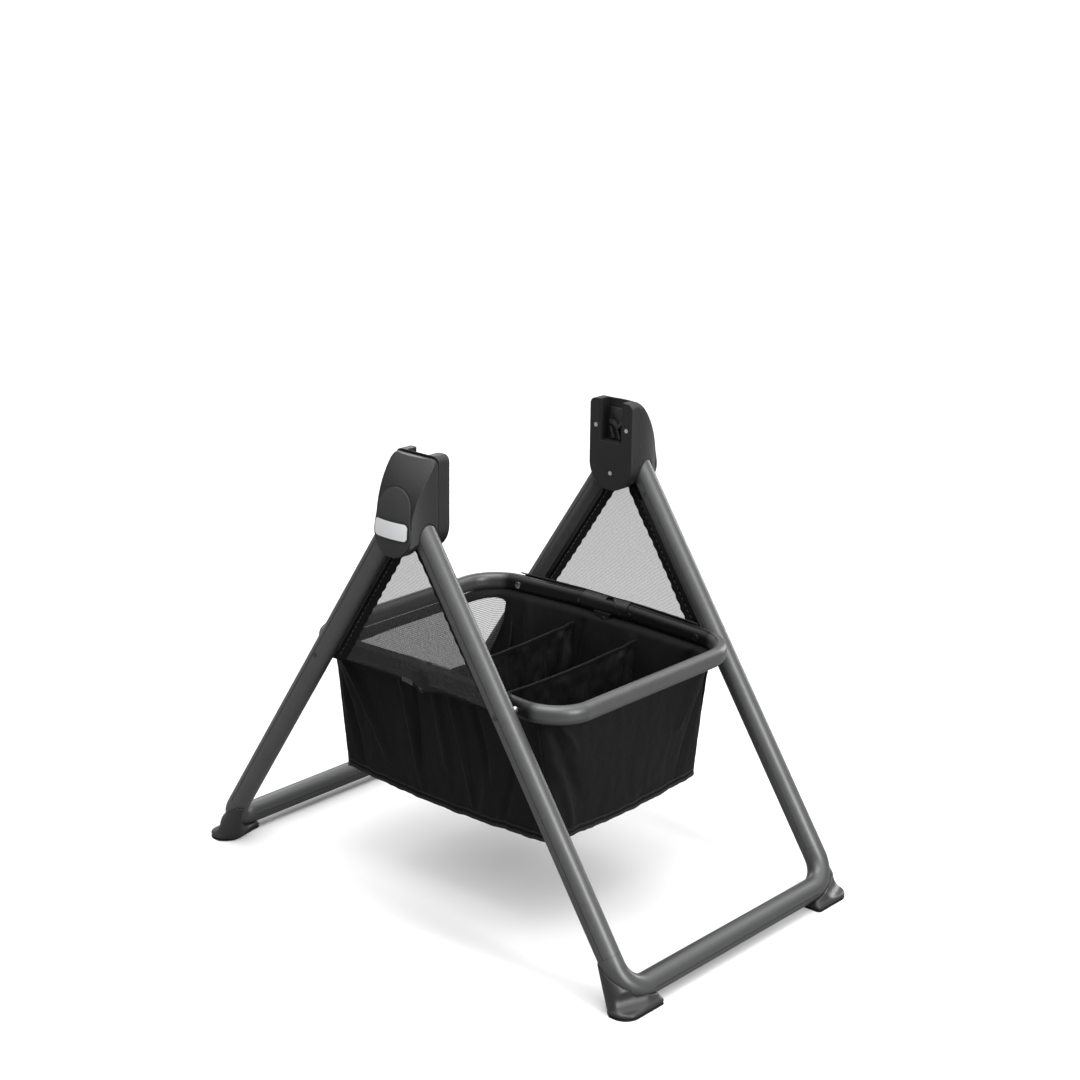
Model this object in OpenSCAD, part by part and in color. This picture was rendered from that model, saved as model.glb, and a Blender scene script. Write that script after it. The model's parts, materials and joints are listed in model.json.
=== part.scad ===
// Folding stand for a carry-cot: two upright hubs, a front and a rear leg frame that swing
// together below them, and a two-part basket rim that locks the legs open and folds upward.
// +X runs from the left hub to the right hub, -Y is the front, +Z is up.
// The origin is on the floor, in the middle between the four feet.

/* [Stand] */
// Half the distance between the two leg planes
leg_x = 236; // [225:1:250]
// Height of the leg pivots above the floor
pivot_z = 612; // [600:1:630]
// Half the distance between the front and rear leg pivots in one hub
pivot_y = 18.5; // [18.5:0.5:20]
// Distance of each ground tube from the middle, along Y
ground_y = 408; // [390:1:420]

/* [Tubes] */
// Radius of the leg and ground tubes
tube_r = 17; // [15:0.5:17]
// Wall thickness of the tubes
tube_wall = 1.8; // [1.2:0.1:2.5]
// Bend radius of the ground tube corners, on the tube axis
corner_r = 42; // [38:1:46]
// Clearance between the ground tubes and the floor
ground_gap = 8; // [6:1:10]

/* [Hubs] */
// Distance of the flat adapter plate from the middle, along X
plate_x = 197.5; // [195:0.5:199]
// Half the width of a hub
hub_half_w = 41.5; // [40:0.5:43]
// Height of the top of a hub
hub_top = 702; // [696:1:706]
// Half the width of the adapter slot
slot_half_w = 21; // [18:0.5:22]
// Height of the bottom of the adapter slot
slot_floor = 637; // [635:1:645]

/* [Basket rim] */
// Distance of the rim's side tubes from the middle, along X
rim_x = 201; // [199:0.5:202]
// Width of the rim tube
rim_w = 21; // [18:0.5:21]
// Height of the rim tube
rim_h = 28; // [24:1:28]
// Distance of the rim's front and rear bars from the middle, along Y
rim_bar_y = 250; // [240:1:256]
// Height of the rim's pivots on the legs
rim_pin_z = 367.5; // [360:0.5:372]
// How much higher the rim is in the middle than at its leg pivots
rim_rise = 7; // [4:0.5:8]
// Corner radius of the rim, on the tube axis
rim_corner_r = 62; // [50:1:66]

/* [Basket] */
// Half the width of the basket at its top
basket_top_x = 189; // [180:1:189]
// Half the length of the basket at its top
basket_top_y = 236; // [226:1:237]
// Half the width of the basket at its floor
basket_floor_x = 168; // [160:1:175]
// Half the length of the basket at its floor
basket_floor_y = 203; // [195:1:212]
// Height of the underside of the basket
basket_z = 168; // [150:1:190]
// Height of the top edges of the two dividers
divider_top = 330; // [300:1:335]

/* [Hidden] */
$fn = 64;
LEFT = -1;
RIGHT = 1;
eps = 0.5;

// leg frames: the splay puts the ground tube at its place on the floor
ground_z = tube_r + ground_gap;
splay = atan((ground_y - pivot_y) / (pivot_z - ground_z));
leg_len = (pivot_z - ground_z) / cos(splay);
seam_above_bar = 55;
leg_end = leg_len - seam_above_bar;
leg_start = 12;
plug_len = 56;
plug_screw_s = 61;
plug_screw_r = 1.6;
pivot_r = 5;
run_gap = 0.05;
groove_w = 1.1;
groove_depth = 0.9;
groove_turn = 12;
vent_r = 1.7;
vent_above_seam = 46;

// hub
plate_t = 3.5;
hub_low_z = 561 + hub_half_w;
hub_corner_r = 10;
leg_slot_in = leg_x - tube_r - 0.4;
leg_slot_out = leg_x + tube_r + 0.4;
shell_in = leg_slot_in + 0.7;
shell_arc_r = 163;
shell_arc_x = 109.5;
shell_crown_r = 122;
shell_side_x = 226;
shell_side_r = 114;
shell_arc_z = 590;
shell_top = hub_top - 3;
pocket_back = leg_x - 18.5;
pocket_wall = 3.2;
cover_proud = 1.6;
pin_grip = 8;
badge_proud = 1;
hub_screws = [[30, 660], [-30, 660], [0, 588]];

// basket rim: both halves tilt up a little towards the hinges in the middle
rim_pin_y = pivot_y + (pivot_z - rim_pin_z) * tan(splay);
rim_tilt = atan(rim_rise / rim_pin_y);
rim_half = rim_pin_y / cos(rim_tilt);
rim_wall = 1.6;
rim_pin_r = 4;
rim_end = 46;
hinge_z = rim_pin_z + rim_rise - rim_h / 2 - 6.5;
hinge_r = 3;
lug_r = 9;
nose_r = 35.5;
knuckle_half_w = 11.6;
tongue_half_w = 7.8;
cheek_in = 8.2;
knuckle_h = rim_h + 1.6;
knuckle_screw_y = 51.5;

// keder rails run on the inner side of each leg, down to the rim
rail_w = 9;
rail_proud = 4;
rail_from = 66;
rail_to = 268;
mesh_x = leg_x - 5;

// the woven bands lie just outside the hinge pins' heads
band_t = 1.6;
band_x = rim_x + knuckle_half_w + 2.1;

// basket
basket_top = rim_pin_z + 349.4 - 367.5;
cloth = 2;
basket_corner_r = 14;
front_divider_y = -70;
rear_divider_y = 55;

// puts a profile drawn as (Y, Z) into the model and makes it thick along X
module along_x(x0, x1) {
    translate([x0, 0, 0]) rotate([90, 0, 90]) linear_extrude(x1 - x0) children();
}

// a part drawn for the right side, on the side asked for
module on_side(side) {
    if (side == RIGHT) children();
    else mirror([1, 0, 0]) children();
}

// a part drawn for the front, at the rear
module at_rear() {
    mirror([0, 1, 0]) children();
}

// the front leg frame's own space: its pivot at the origin, the legs along -Z, outside at -Y
module in_frame() {
    translate([0, -pivot_y, pivot_z]) rotate([-splay, 0, 0]) children();
}

// the front rim half's own space: its leg pivot at the origin, +Y towards the hinge
module in_rim() {
    translate([0, -rim_pin_y, rim_pin_z]) rotate([rim_tilt, 0, 0]) children();
}

// ---- hubs ----

module hub_outline(half_w, top) {
    inner_w = half_w - hub_corner_r;
    translate([0, hub_low_z]) circle(half_w);
    translate([-half_w, hub_low_z]) square([2 * half_w, top - hub_corner_r - hub_low_z]);
    translate([-inner_w, hub_low_z]) square([2 * inner_w, top - hub_low_z]);
    for (s = [-1, 1]) translate([s * inner_w, top - hub_corner_r]) circle(hub_corner_r);
}

// the adapter slot, open at the top
module slot_outline(half_w, floor_z) {
    translate([-half_w, floor_z]) square([2 * half_w, 2 * hub_top]);
}

module hub_screw_holes(r, x0, x1) {
    for (p = hub_screws) translate([x0, p[0], p[1]]) rotate([0, 90, 0]) cylinder(r = r, h = x1 - x0);
}

// flat plate that the adapter slides against, with a shallow lead-in beside the slot
module inner_plate(side) {
    step_w = 4;
    step_z = 664;
    step_t = 1.4;
    color("#26272a") on_side(side) difference() {
        along_x(plate_x, plate_x + plate_t) difference() {
            hub_outline(hub_half_w, hub_top);
            slot_outline(slot_half_w, slot_floor);
        }
        along_x(plate_x - eps, plate_x + step_t) slot_outline(slot_half_w + step_w, step_z);
        hub_screw_holes(1.8, plate_x - eps, plate_x + plate_t + eps);
        hub_screw_holes(3.6, plate_x - eps, plate_x + 1.8);
    }
}

// body of the hub's inner half, with the pocket that takes the adapter
module socket_housing(side) {
    body_in = plate_x + plate_t;
    color("#1d1e20") on_side(side) difference() {
        union() {
            along_x(body_in, leg_slot_in) hub_outline(hub_half_w, hub_top);
            along_x(body_in, pocket_back + pocket_wall) difference() {
                slot_outline(slot_half_w + pocket_wall, slot_floor - pocket_wall);
                translate([-hub_half_w, hub_top - 5]) square([2 * hub_half_w, 2 * hub_top]);
            }
        }
        along_x(body_in - eps, pocket_back) slot_outline(slot_half_w, slot_floor);
        hub_screw_holes(1.55, body_in - eps, body_in + 12);
        translate([body_in - eps, 0, pivot_z]) for (s = [-1, 1]) translate([0, s * pivot_y, 0])
            rotate([0, 90, 0]) cylinder(r = pivot_r + run_gap, h = leg_slot_in - body_in + 2 * eps);
    }
}

// the space that both legs sweep between the two halves of the hub
module leg_swing_space() {
    inner_half_w = hub_half_w - 5;
    low_z = 500;
    far_y = 52;
    far_z = pivot_z - (far_y - pivot_y) / tan(splay);
    along_x(leg_slot_in - eps, leg_slot_out) union() {
        polygon([[-pivot_y, pivot_z], [-far_y, far_z], [-far_y, low_z],
                 [far_y, low_z], [far_y, far_z], [pivot_y, pivot_z]]);
        translate([-inner_half_w, low_z]) square([2 * inner_half_w, pivot_z + tube_r + 1.5 - low_z]);
    }
    for (m = [0, 1]) mirror([0, m, 0]) in_frame()
        translate([leg_x, 0, -80]) cylinder(r = tube_r + 0.4, h = 80);
}

// the hub's outer face is crowned both ways, so cover and badge follow it
module shell_arc(proud) {
    translate([shell_arc_x, 0, shell_arc_z]) rotate([90, 0, 0]) rotate_extrude($fn = 128) intersection() {
        translate([shell_arc_r - shell_crown_r, 0]) circle(shell_crown_r + proud, $fn = 128);
        translate([0, -2 * hub_half_w]) square([2 * shell_arc_r, 4 * hub_half_w]);
    }
}

module cover_outline(grow) {
    hull() {
        translate([0, 597]) circle(35 + grow, $fn = 48);
        translate([0, 629]) circle(31 + grow, $fn = 48);
    }
}

// plan of the outer half: straight at first, then each side curves in towards the outer face
module shell_sides(far_x) {
    linear_extrude(2 * hub_top) union() {
        translate([shell_in, -hub_half_w]) square([shell_side_x - shell_in, 2 * hub_half_w]);
        intersection() {
            translate([shell_side_x - eps, -hub_half_w]) square([far_x - shell_side_x, 2 * hub_half_w]);
            side_lens();
        }
    }
}

// the lens between two large circles, tangent to the hub's straight sides
module side_lens() {
    intersection_for(s = [-1, 1]) translate([shell_side_x, s * (shell_side_r - hub_half_w)])
        circle(shell_side_r, $fn = 128);
}

// moulded outer half of the hub, over the leg ends
module outer_shell(side) {
    far_x = 290;
    join_gap = 0.3;
    hug = pocket_wall + join_gap;
    color("#3a3b3e") on_side(side) difference() {
        intersection() {
            along_x(shell_in, far_x) hub_outline(hub_half_w, shell_top);
            shell_arc(0);
            shell_sides(far_x);
        }
        leg_swing_space();
        along_x(shell_in - eps, pocket_back + hug) slot_outline(slot_half_w + hug, slot_floor - hug);
        difference() {
            along_x(200, 300) cover_outline(0.2);
            shell_arc(-1.2);
        }
        translate([0, 0, pivot_z]) for (s = [-1, 1]) translate([leg_slot_out - eps, s * pivot_y, 0])
            rotate([0, 90, 0]) cylinder(r = pivot_r + run_gap, h = pin_grip + 2);
    }
}

module cover_plate(side) {
    color("#4a4b4e") on_side(side) difference() {
        intersection() {
            along_x(240, 300) cover_outline(0);
            shell_arc(cover_proud);
        }
        shell_arc(-1);
    }
}

// blank plate across the cover
module badge(side) {
    half_w = 33;
    low = 588;
    high = 616;
    r = 8;
    color("#d9dadb") on_side(side) difference() {
        intersection() {
            along_x(240, 300) hull() for (s = [-1, 1]) for (z = [low + r, high - r])
                translate([s * (half_w - r), z]) circle(r, $fn = 32);
            shell_arc(cover_proud + badge_proud);
        }
        shell_arc(cover_proud + run_gap);
    }
}

// two slanted guide ribs and a notched catch at the back of the adapter pocket
module catch_ribs(side) {
    rib_t = 3;
    rib_depth = 6;
    base_t = 2;
    catch_z = 668;
    back = pocket_back - run_gap;
    color("#141516") on_side(side) {
        along_x(back - base_t, back) translate([-16, slot_floor + 1]) square([32, 50]);
        for (y = [-7, 5]) along_x(back - rib_depth, back - base_t + 0.01)
            translate([y, slot_floor + 3]) polygon([[0, 0], [rib_t, 0], [rib_t + 6, 18], [6, 18]]);
        along_x(back - rib_depth, back - base_t + 0.01) translate([0, catch_z])
            polygon([[-15, -6], [-9, -6], [-3, -12], [3, -12], [9, -6], [15, -6], [15, 0],
                     [7, 0], [0, -7], [-7, 0], [-15, 0]]);
    }
}

module hub_screw_set(side) {
    shank_r = 1.5;
    head_r = 3.4;
    color("#c9c8c2") on_side(side) for (p = hub_screws) translate([plate_x, p[0], p[1]]) rotate([0, 90, 0])
        difference() {
            union() {
                translate([0, 0, 0.2]) cylinder(r = head_r, h = 1.5);
                translate([0, 0, 0.4]) cylinder(r = shank_r, h = 13);
            }
            for (a = [0, 90]) rotate([0, 0, a]) cube([4, 0.9, 1.8], center = true);
        }
}

module leg_pivot_pins(side) {
    color("#8f9296") on_side(side) for (s = [-1, 1])
        translate([plate_x + plate_t + 1, s * pivot_y, pivot_z]) rotate([0, 90, 0])
            cylinder(r = pivot_r, h = leg_slot_out + pin_grip - 1 - plate_x - plate_t);
}

// ---- leg frames, drawn for the front ----

// tube section with the two parting grooves, drawn with +Y away from the outer side
module tube_section(turn) {
    difference() {
        circle(tube_r);
        circle(tube_r - tube_wall);
        for (a = [-turn, 180 + turn]) rotate(a)
            translate([tube_r - groove_depth, -groove_w / 2]) square([2 * groove_depth, groove_w]);
    }
}

module leg(side) {
    color("#4b4c4f") in_frame() translate([side * leg_x, 0, 0]) difference() {
        translate([0, 0, -leg_end]) linear_extrude(leg_end - leg_start) tube_section(groove_turn);
        rim_pin_hole(rim_pin_r + 0.03);
        plug_screw_hole(side, plug_screw_r + run_gap);
    }
}

// hole for the screw that holds the plug, on the inner side of the leg
module plug_screw_hole(side, r) {
    translate([-side * tube_r, 0, -plug_screw_s])
        rotate([0, 90, 0]) cylinder(r = r, h = tube_r, center = true);
}

// where the basket rim is pinned to the leg
module rim_pin_hole(r) {
    pin_s = (pivot_z - rim_pin_z) / cos(splay);
    translate([0, 0, -pin_s]) rotate([0, 90, 0]) cylinder(r = r, h = 4 * tube_r, center = true);
}

// rear legs have a small vent hole above the seam, on the outer side
module rear_leg(side) {
    at_rear() difference() {
        leg(side);
        in_frame() translate([side * (leg_x + tube_r), -3, -leg_end + vent_above_seam])
            rotate([0, 90, 0]) cylinder(r = vent_r, h = tube_r, center = true);
    }
}

// moulded end of a leg: a spigot in the tube and a flat eye on the pivot pin
module leg_plug(side) {
    eye_r = 15;
    eye_half_w = 13;
    neck_half = 12;
    spigot_r = tube_r - tube_wall - 0.1;
    color("#2b2c2e") in_frame() translate([side * leg_x, 0, 0]) difference() {
        union() {
            rotate([0, 90, 0]) cylinder(r = eye_r, h = 2 * eye_half_w, center = true);
            translate([-eye_half_w, -neck_half, -leg_start]) cube([2 * eye_half_w, 2 * neck_half, leg_start]);
            translate([0, 0, -leg_start - plug_len]) cylinder(r = spigot_r, h = plug_len - 0.1);
            translate([-eye_half_w / 1.5, -5, -leg_start - 4]) cube([eye_half_w * 4 / 3, 10, 8]);
        }
        rotate([0, 90, 0]) cylinder(r = pivot_r + run_gap, h = 6 * eye_r, center = true);
        plug_screw_hole(side, plug_screw_r + run_gap);
    }
}

// pan-head screws through the tubes into the plugs
module plug_screws() {
    head_r = 3.2;
    head_h = 1.4;
    shank_len = 7;
    color("#8f9296") in_frame() for (side = [LEFT, RIGHT]) on_side(side)
        translate([leg_x - tube_r - head_h, 0, -plug_screw_s]) rotate([0, 90, 0]) {
            cylinder(r = head_r, h = head_h - run_gap);
            cylinder(r = plug_screw_r, h = head_h + shank_len);
        }
}

// channel on the inner side of a leg that holds the edge of the mesh panel
module keder_rail(side) {
    slit = 2;
    color("#161718") in_frame() translate([side * mesh_x, 0, 0]) difference() {
        translate([-rail_w / 2, tube_r - 3, -rail_to]) cube([rail_w, rail_proud + 3, rail_to - rail_from]);
        translate([side * (leg_x - mesh_x), 0, -rail_to - eps])
            cylinder(r = tube_r + run_gap, h = rail_to - rail_from + 2 * eps);
        translate([-slit / 2, tube_r + rail_proud - 2.5, -rail_to - eps])
            cube([slit, 4, rail_to - rail_from + 2 * eps]);
    }
}

// one corner of the ground tube, hollow, from the seam to the straight bar
module ground_corner() {
    stub = seam_above_bar - corner_r;
    translate([0, 0, corner_r]) linear_extrude(stub) difference() {
        circle(tube_r);
        circle(tube_r - tube_wall);
    }
    translate([-corner_r, 0, corner_r]) rotate([90, 0, 0])
        rotate_extrude(angle = 90, start = -90) translate([corner_r, 0]) difference() {
            circle(tube_r);
            circle(tube_r - tube_wall);
        }
}

// U-shaped ground tube: a bar with a bend at each end that meets the legs at the seams
module ground_tube() {
    bar_half = leg_x - corner_r;
    bar_groove = 90 - splay;
    color("#4b4c4f") in_frame() translate([0, 0, -leg_len]) {
        for (side = [LEFT, RIGHT]) on_side(side) translate([leg_x, 0, -0.3]) ground_corner();
        translate([-bar_half, 0, -0.3]) rotate([0, 90, 0]) linear_extrude(2 * bar_half) difference() {
            circle(tube_r);
            circle(tube_r - tube_wall);
            for (a = [-bar_groove, 180 - bar_groove]) rotate(a)
                translate([tube_r - groove_depth, -groove_w / 2]) square([2 * groove_depth, groove_w]);
        }
    }
}

// footprint of a right-hand foot, its outer front corner well rounded
module foot_outline(grow) {
    x0 = 181 - grow;
    x1 = 265 + grow;
    y0 = ground_y - 14 - grow;
    y1 = ground_y + 28 + grow;
    r = 24;
    small = 5;
    hull() {
        translate([x0 + small, -y0 - small]) circle(small, $fn = 24);
        translate([x1 - small * 2, -y0 - small * 2]) circle(small * 2, $fn = 24);
        translate([x1 - r, -y1 + r]) circle(r, $fn = 48);
        translate([x0 + small, -y1 + small]) circle(small, $fn = 24);
    }
}

// the space inside the tube's bend, taken from its centre line out by grow
module inside_of_bend(grow) {
    reach = 120;
    translate([-corner_r, 0, corner_r])
        rotate([90, 0, 0]) cylinder(r = corner_r + grow, h = reach, center = true);
    translate([-corner_r - reach, -reach / 2, -grow]) cube([reach, reach, reach]);
    translate([-corner_r - reach, -reach / 2, corner_r]) cube([corner_r + reach + grow, reach, reach]);
}

// moulded foot: a flared skid below the bend of the ground tube, with a scoop at its front
module foot(side) {
    sole = 2;
    ledge = 9;
    hug_r = tube_r - 1;
    scoop_r = 17;
    straight_r = tube_r + 0.5;
    bend_gap = 4;
    color("#3a3b3d") on_side(side) difference() {
        union() {
            translate([0, 0, sole + 0.1]) linear_extrude(ledge - sole) foot_outline(-1);
            hull() {
                translate([0, 0, sole + 0.1]) linear_extrude(ledge - sole) foot_outline(-4);
                in_frame() translate([leg_x + 3, 4, -leg_end + 6]) sphere(hug_r - 4, $fn = 32);
                in_frame() translate([leg_x - 8, 3, -leg_len + 8]) sphere(hug_r, $fn = 32);
                in_frame() translate([leg_x - corner_r, 4, -leg_len - 1]) sphere(hug_r - 3, $fn = 32);
            }
        }
        in_frame() translate([leg_x, 0, -leg_len - 0.3]) {
            translate([-corner_r, 0, corner_r]) rotate([90, 0, 0])
                rotate_extrude(angle = 100, start = -95) translate([corner_r, 0]) circle(tube_r + 0.15);
            translate([-3 * corner_r, 0, 0]) rotate([0, 90, 0]) cylinder(r = straight_r, h = 2 * corner_r);
            translate([0, 0, corner_r]) cylinder(r = straight_r, h = 60);
            inside_of_bend(bend_gap);
        }
        translate([leg_x + 2, -ground_y - 24, ledge + scoop_r]) rotate([0, 90, 20])
            cylinder(r = scoop_r, h = 70, center = true);
        translate([0, 0, -50 + sole + 0.1]) cube([600, 1200, 100], center = true);
    }
}

// rubber soles, one under each foot
module foot_pads() {
    color("#121212") for (side = [LEFT, RIGHT]) on_side(side) linear_extrude(2) foot_outline(-1.5);
}

// steel stubs on the front legs that end just short of the rim
module front_rim_stub_pins() {
    collar_r = 6.5;
    rim_face = rim_x + rim_w / 2;
    color("#b9bcc0") for (side = [LEFT, RIGHT]) on_side(side) translate([0, -rim_pin_y, rim_pin_z])
        rotate([0, 90, 0]) {
            translate([0, 0, rim_face + 0.6]) cylinder(r = collar_r, h = leg_x - tube_r - rim_face - 1.2);
            translate([0, 0, rim_face + 2]) cylinder(r = rim_pin_r, h = leg_x + tube_r + 0.5 - rim_face - 2);
        }
}

// steel pins that carry the rim's rear half on the rear legs, with a rivet head inside the rim
module rear_rim_pivot_pins() {
    collar_r = 6.5;
    head_r = 5.5;
    rim_face = rim_x + rim_w / 2;
    inner_face = rim_x - rim_w / 2;
    color("#b9bcc0") for (side = [LEFT, RIGHT]) on_side(side) translate([0, rim_pin_y, rim_pin_z])
        rotate([0, 90, 0]) {
            translate([0, 0, inner_face - 2]) cylinder(r = head_r, h = 1.7);
            translate([0, 0, inner_face - 1]) cylinder(r = rim_pin_r, h = leg_x + tube_r + 1.5 - inner_face);
            translate([0, 0, rim_face + 0.6]) cylinder(r = collar_r, h = leg_x - tube_r - rim_face - 1.2);
        }
}

// ---- basket rim, drawn for the front ----

// rim tube section: flat sides, round top and bottom, and a ridge line along the top
module rim_section() {
    round_r = rim_w / 2;
    flat = rim_h / 2 - round_r;
    difference() {
        union() {
            for (s = [-1, 1]) translate([0, s * flat]) circle(round_r);
            square([rim_w, 2 * flat], center = true);
        }
        for (s = [-1, 1]) translate([0, s * flat]) circle(round_r - rim_wall);
        square([rim_w - 2 * rim_wall, 2 * flat], center = true);
        translate([-4.6, rim_h / 2 - 1.9]) square([1.2, 3]);
    }
}

module rim_side_run(y0, y1) {
    translate([rim_x, y1, 0]) rotate([90, 0, 0]) linear_extrude(y1 - y0) rim_section();
}

module rim_tube(has_pin_hole) {
    bar_y = -(rim_bar_y - rim_pin_y) / cos(rim_tilt);
    bend_x = rim_x - rim_corner_r;
    bend_y = bar_y + rim_corner_r;
    color("#4b4c4f") in_rim() difference() {
        union() {
            for (side = [LEFT, RIGHT]) on_side(side) {
                rim_side_run(bend_y, rim_half - rim_end);
                translate([bend_x, bend_y, 0]) rotate_extrude(angle = 90, start = -90)
                    translate([rim_corner_r, 0]) rim_section();
            }
            translate([-bend_x, bar_y, 0]) rotate([90, 0, 90]) mirror([1, 0, 0])
                linear_extrude(2 * bend_x) rim_section();
        }
        if (has_pin_hole) rotate([0, 90, 0]) cylinder(r = rim_pin_r + run_gap, h = 3 * rim_x, center = true);
        for (s = [-1, 1]) translate([s * (rim_x - rim_w / 2), rim_half - knuckle_screw_y, 0])
            rotate([0, 90, 0]) cylinder(r = 1.7, h = rim_w / 2, center = true);
    }
}

// spigot of a knuckle inside the end of the rim tube
module knuckle_spigot() {
    half_w = rim_w / 2 - rim_wall - 0.2;
    flat = rim_h / 2 - rim_w / 2;
    in_rim() difference() {
        translate([rim_x, rim_half - rim_end + 1, 0]) rotate([90, 0, 0]) linear_extrude(14) union() {
            for (s = [-1, 1]) translate([0, s * flat]) circle(half_w);
            square([2 * half_w, 2 * flat], center = true);
        }
        translate([rim_x, rim_half - knuckle_screw_y, 0]) rotate([0, 90, 0])
            cylinder(r = 1.55, h = 2 * rim_w, center = true);
    }
}

// side outline of a knuckle's straight part, as (Y, Z), for the front half
module knuckle_body_outline() {
    low = rim_pin_z + rim_rise - knuckle_h / 2;
    end = rim_end - 0.3;
    translate([-end, low - 1]) square([end, knuckle_h]);
}

// hollow round sleeve end, so that both knuckles have the rim's rounded section
module knuckle_rounding(half_w) {
    round_r = half_w;
    flat = knuckle_h / 2 - round_r;
    z = rim_pin_z + rim_rise - 1;
    translate([rim_x, 60, z]) rotate([90, 0, 0]) linear_extrude(120) union() {
        for (s = [-1, 1]) translate([0, s * flat]) circle(round_r);
        square([2 * round_r, 2 * flat], center = true);
    }
}

// front knuckle: full width beyond the rear one's nose, a narrow tongue inside it
module front_knuckle(side) {
    color("#2a2b2d") on_side(side) difference() {
        union() {
            intersection() {
                along_x(rim_x - knuckle_half_w, rim_x + knuckle_half_w) difference() {
                    knuckle_body_outline();
                    translate([0, hinge_z]) circle(nose_r + 0.5, $fn = 96);
                }
                knuckle_rounding(knuckle_half_w);
            }
            along_x(rim_x - tongue_half_w, rim_x + tongue_half_w) difference() {
                union() {
                    translate([0, hinge_z]) circle(lug_r - 1);
                    translate([-37, hinge_z + 7.5]) square([36.5, 22]);
                    polygon([[-12, hinge_z + 8], [-8, hinge_z - 1], [0, hinge_z], [-0.5, hinge_z + 8]]);
                }
                translate([0, hinge_z]) circle(hinge_r + run_gap);
            }
            knuckle_spigot();
        }
    }
}

// rear knuckle: its two cheeks end in a round nose over the front one's tongue
module rear_knuckle(side) {
    low = rim_pin_z + rim_rise - knuckle_h / 2 - 1;
    color("#2a2b2d") on_side(side) difference() {
        union() {
            intersection() {
                along_x(rim_x - knuckle_half_w, rim_x + knuckle_half_w) union() {
                    mirror([1, 0]) knuckle_body_outline();
                    difference() {
                        translate([0, hinge_z]) circle(nose_r, $fn = 96);
                        translate([-50, low - 100]) square([100, 100]);
                        translate([-50, low + knuckle_h]) square([100, 100]);
                        translate([0, low - 1]) square([50, 50]);
                    }
                }
                knuckle_rounding(knuckle_half_w);
            }
            along_x(rim_x - knuckle_half_w, rim_x + knuckle_half_w) {
                translate([0, hinge_z]) circle(lug_r);
                polygon([[-8.2, hinge_z + 3.7], [8.2, hinge_z - 3.7],
                         [20, hinge_z + 10], [-14, hinge_z + 10]]);
            }
            mirror([0, 1, 0]) knuckle_spigot();
        }
        along_x(rim_x - cheek_in, rim_x + cheek_in) {
            translate([0, hinge_z]) circle(lug_r + 0.6);
            translate([-50, hinge_z - 20]) square([50, 80]);
            translate([-50, hinge_z - 20]) square([100, 26]);
        }
        along_x(rim_x - 2 * rim_w, rim_x + 2 * rim_w) translate([0, hinge_z]) circle(hinge_r + run_gap);
    }
}

module rim_hinge_pins() {
    head_r = 4.6;
    color("#9a9da1") for (side = [LEFT, RIGHT])
        on_side(side) translate([rim_x, 0, hinge_z]) rotate([0, 90, 0]) {
        cylinder(r = hinge_r, h = 2 * knuckle_half_w + 1, center = true);
        for (s = [-1, 1])
            translate([0, 0, s * (knuckle_half_w + 0.9)]) cylinder(r = head_r, h = 1.6, center = true);
    }
}

// screws that hold the knuckles' spigots, seen on the rim's inner face
module knuckle_screws() {
    color("#5f6164") in_rim() for (side = [LEFT, RIGHT]) on_side(side)
        translate([rim_x - rim_w / 2, rim_half - knuckle_screw_y, 0]) rotate([0, 90, 0]) {
            translate([0, 0, -1.3]) cylinder(r = 3.2, h = 1.3);
            translate([0, 0, -0.5]) cylinder(r = 1.5, h = 9);
        }
}

// rivet heads on the inner face of the rim's front half, in line with the front legs' stubs
module front_rim_rivets() {
    color("#6f7174") in_rim() for (side = [LEFT, RIGHT]) on_side(side)
        translate([rim_x - rim_w / 2 - 1.5, 0, 0]) rotate([0, 90, 0]) cylinder(r = 5.5, h = 1.5);
}

// ---- basket and panels ----

module basket_block(shrink, low, high) {
    corner = basket_corner_r;
    thin = 0.1;
    hull() for (level = [0, 1]) {
        z = level == 0 ? low : high;
        half_x = (level == 0 ? basket_floor_x : basket_top_x) - shrink - corner;
        half_y = (level == 0 ? basket_floor_y : basket_top_y) - shrink - corner;
        translate([0, 0, z - level * thin]) linear_extrude(thin)
            for (sx = [-1, 1]) for (sy = [-1, 1])
                translate([sx * half_x, sy * half_y]) circle(corner, $fn = 24);
    }
}

module basket_walls() {
    difference() {
        basket_block(0, basket_z, basket_top);
        basket_block(cloth, basket_z + cloth, basket_top + 0.2);
    }
}

// outline of the window in the rear wall, as (X, Z)
module window_outline(grow) {
    offset(delta = grow) polygon([[-122, 334], [136, 334], [150, 262], [96, 232], [-96, 232], [-142, 262]]);
}

module window_block(grow) {
    translate([0, 300, 0]) rotate([90, 0, 0]) linear_extrude(200) window_outline(grow);
}

// the seams that part the tub into floor, front, rear and side panels
module basket_seams() {
    seam = 0.2;
    corner = basket_corner_r;
    run = atan2(basket_top_y - basket_floor_y, basket_top_x - basket_floor_x);
    translate([-300, -300, basket_z + cloth]) cube([600, 600, seam]);
    for (sx = [0, 1]) mirror([sx, 0, 0]) for (sy = [0, 1]) mirror([0, sy, 0])
        translate([basket_floor_x - corner, basket_floor_y - corner, basket_z - 1]) rotate([0, 0, run])
            translate([0, -seam / 2, 0]) cube([90, seam, 300]);
}

// hanging fabric tub, sewn from five panels, with a window in its rear wall
module storage_basket() {
    color("#17181a") difference() {
        basket_walls();
        window_block(0);
        basket_seams();
    }
}

module rear_mesh_window() {
    color("#8d8f90") intersection() {
        basket_walls();
        window_block(-0.4);
    }
}

function basket_half_x(z) = basket_floor_x
    + (basket_top_x - basket_floor_x) * (z - basket_z) / (basket_top - basket_z) - cloth - 1;

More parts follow.
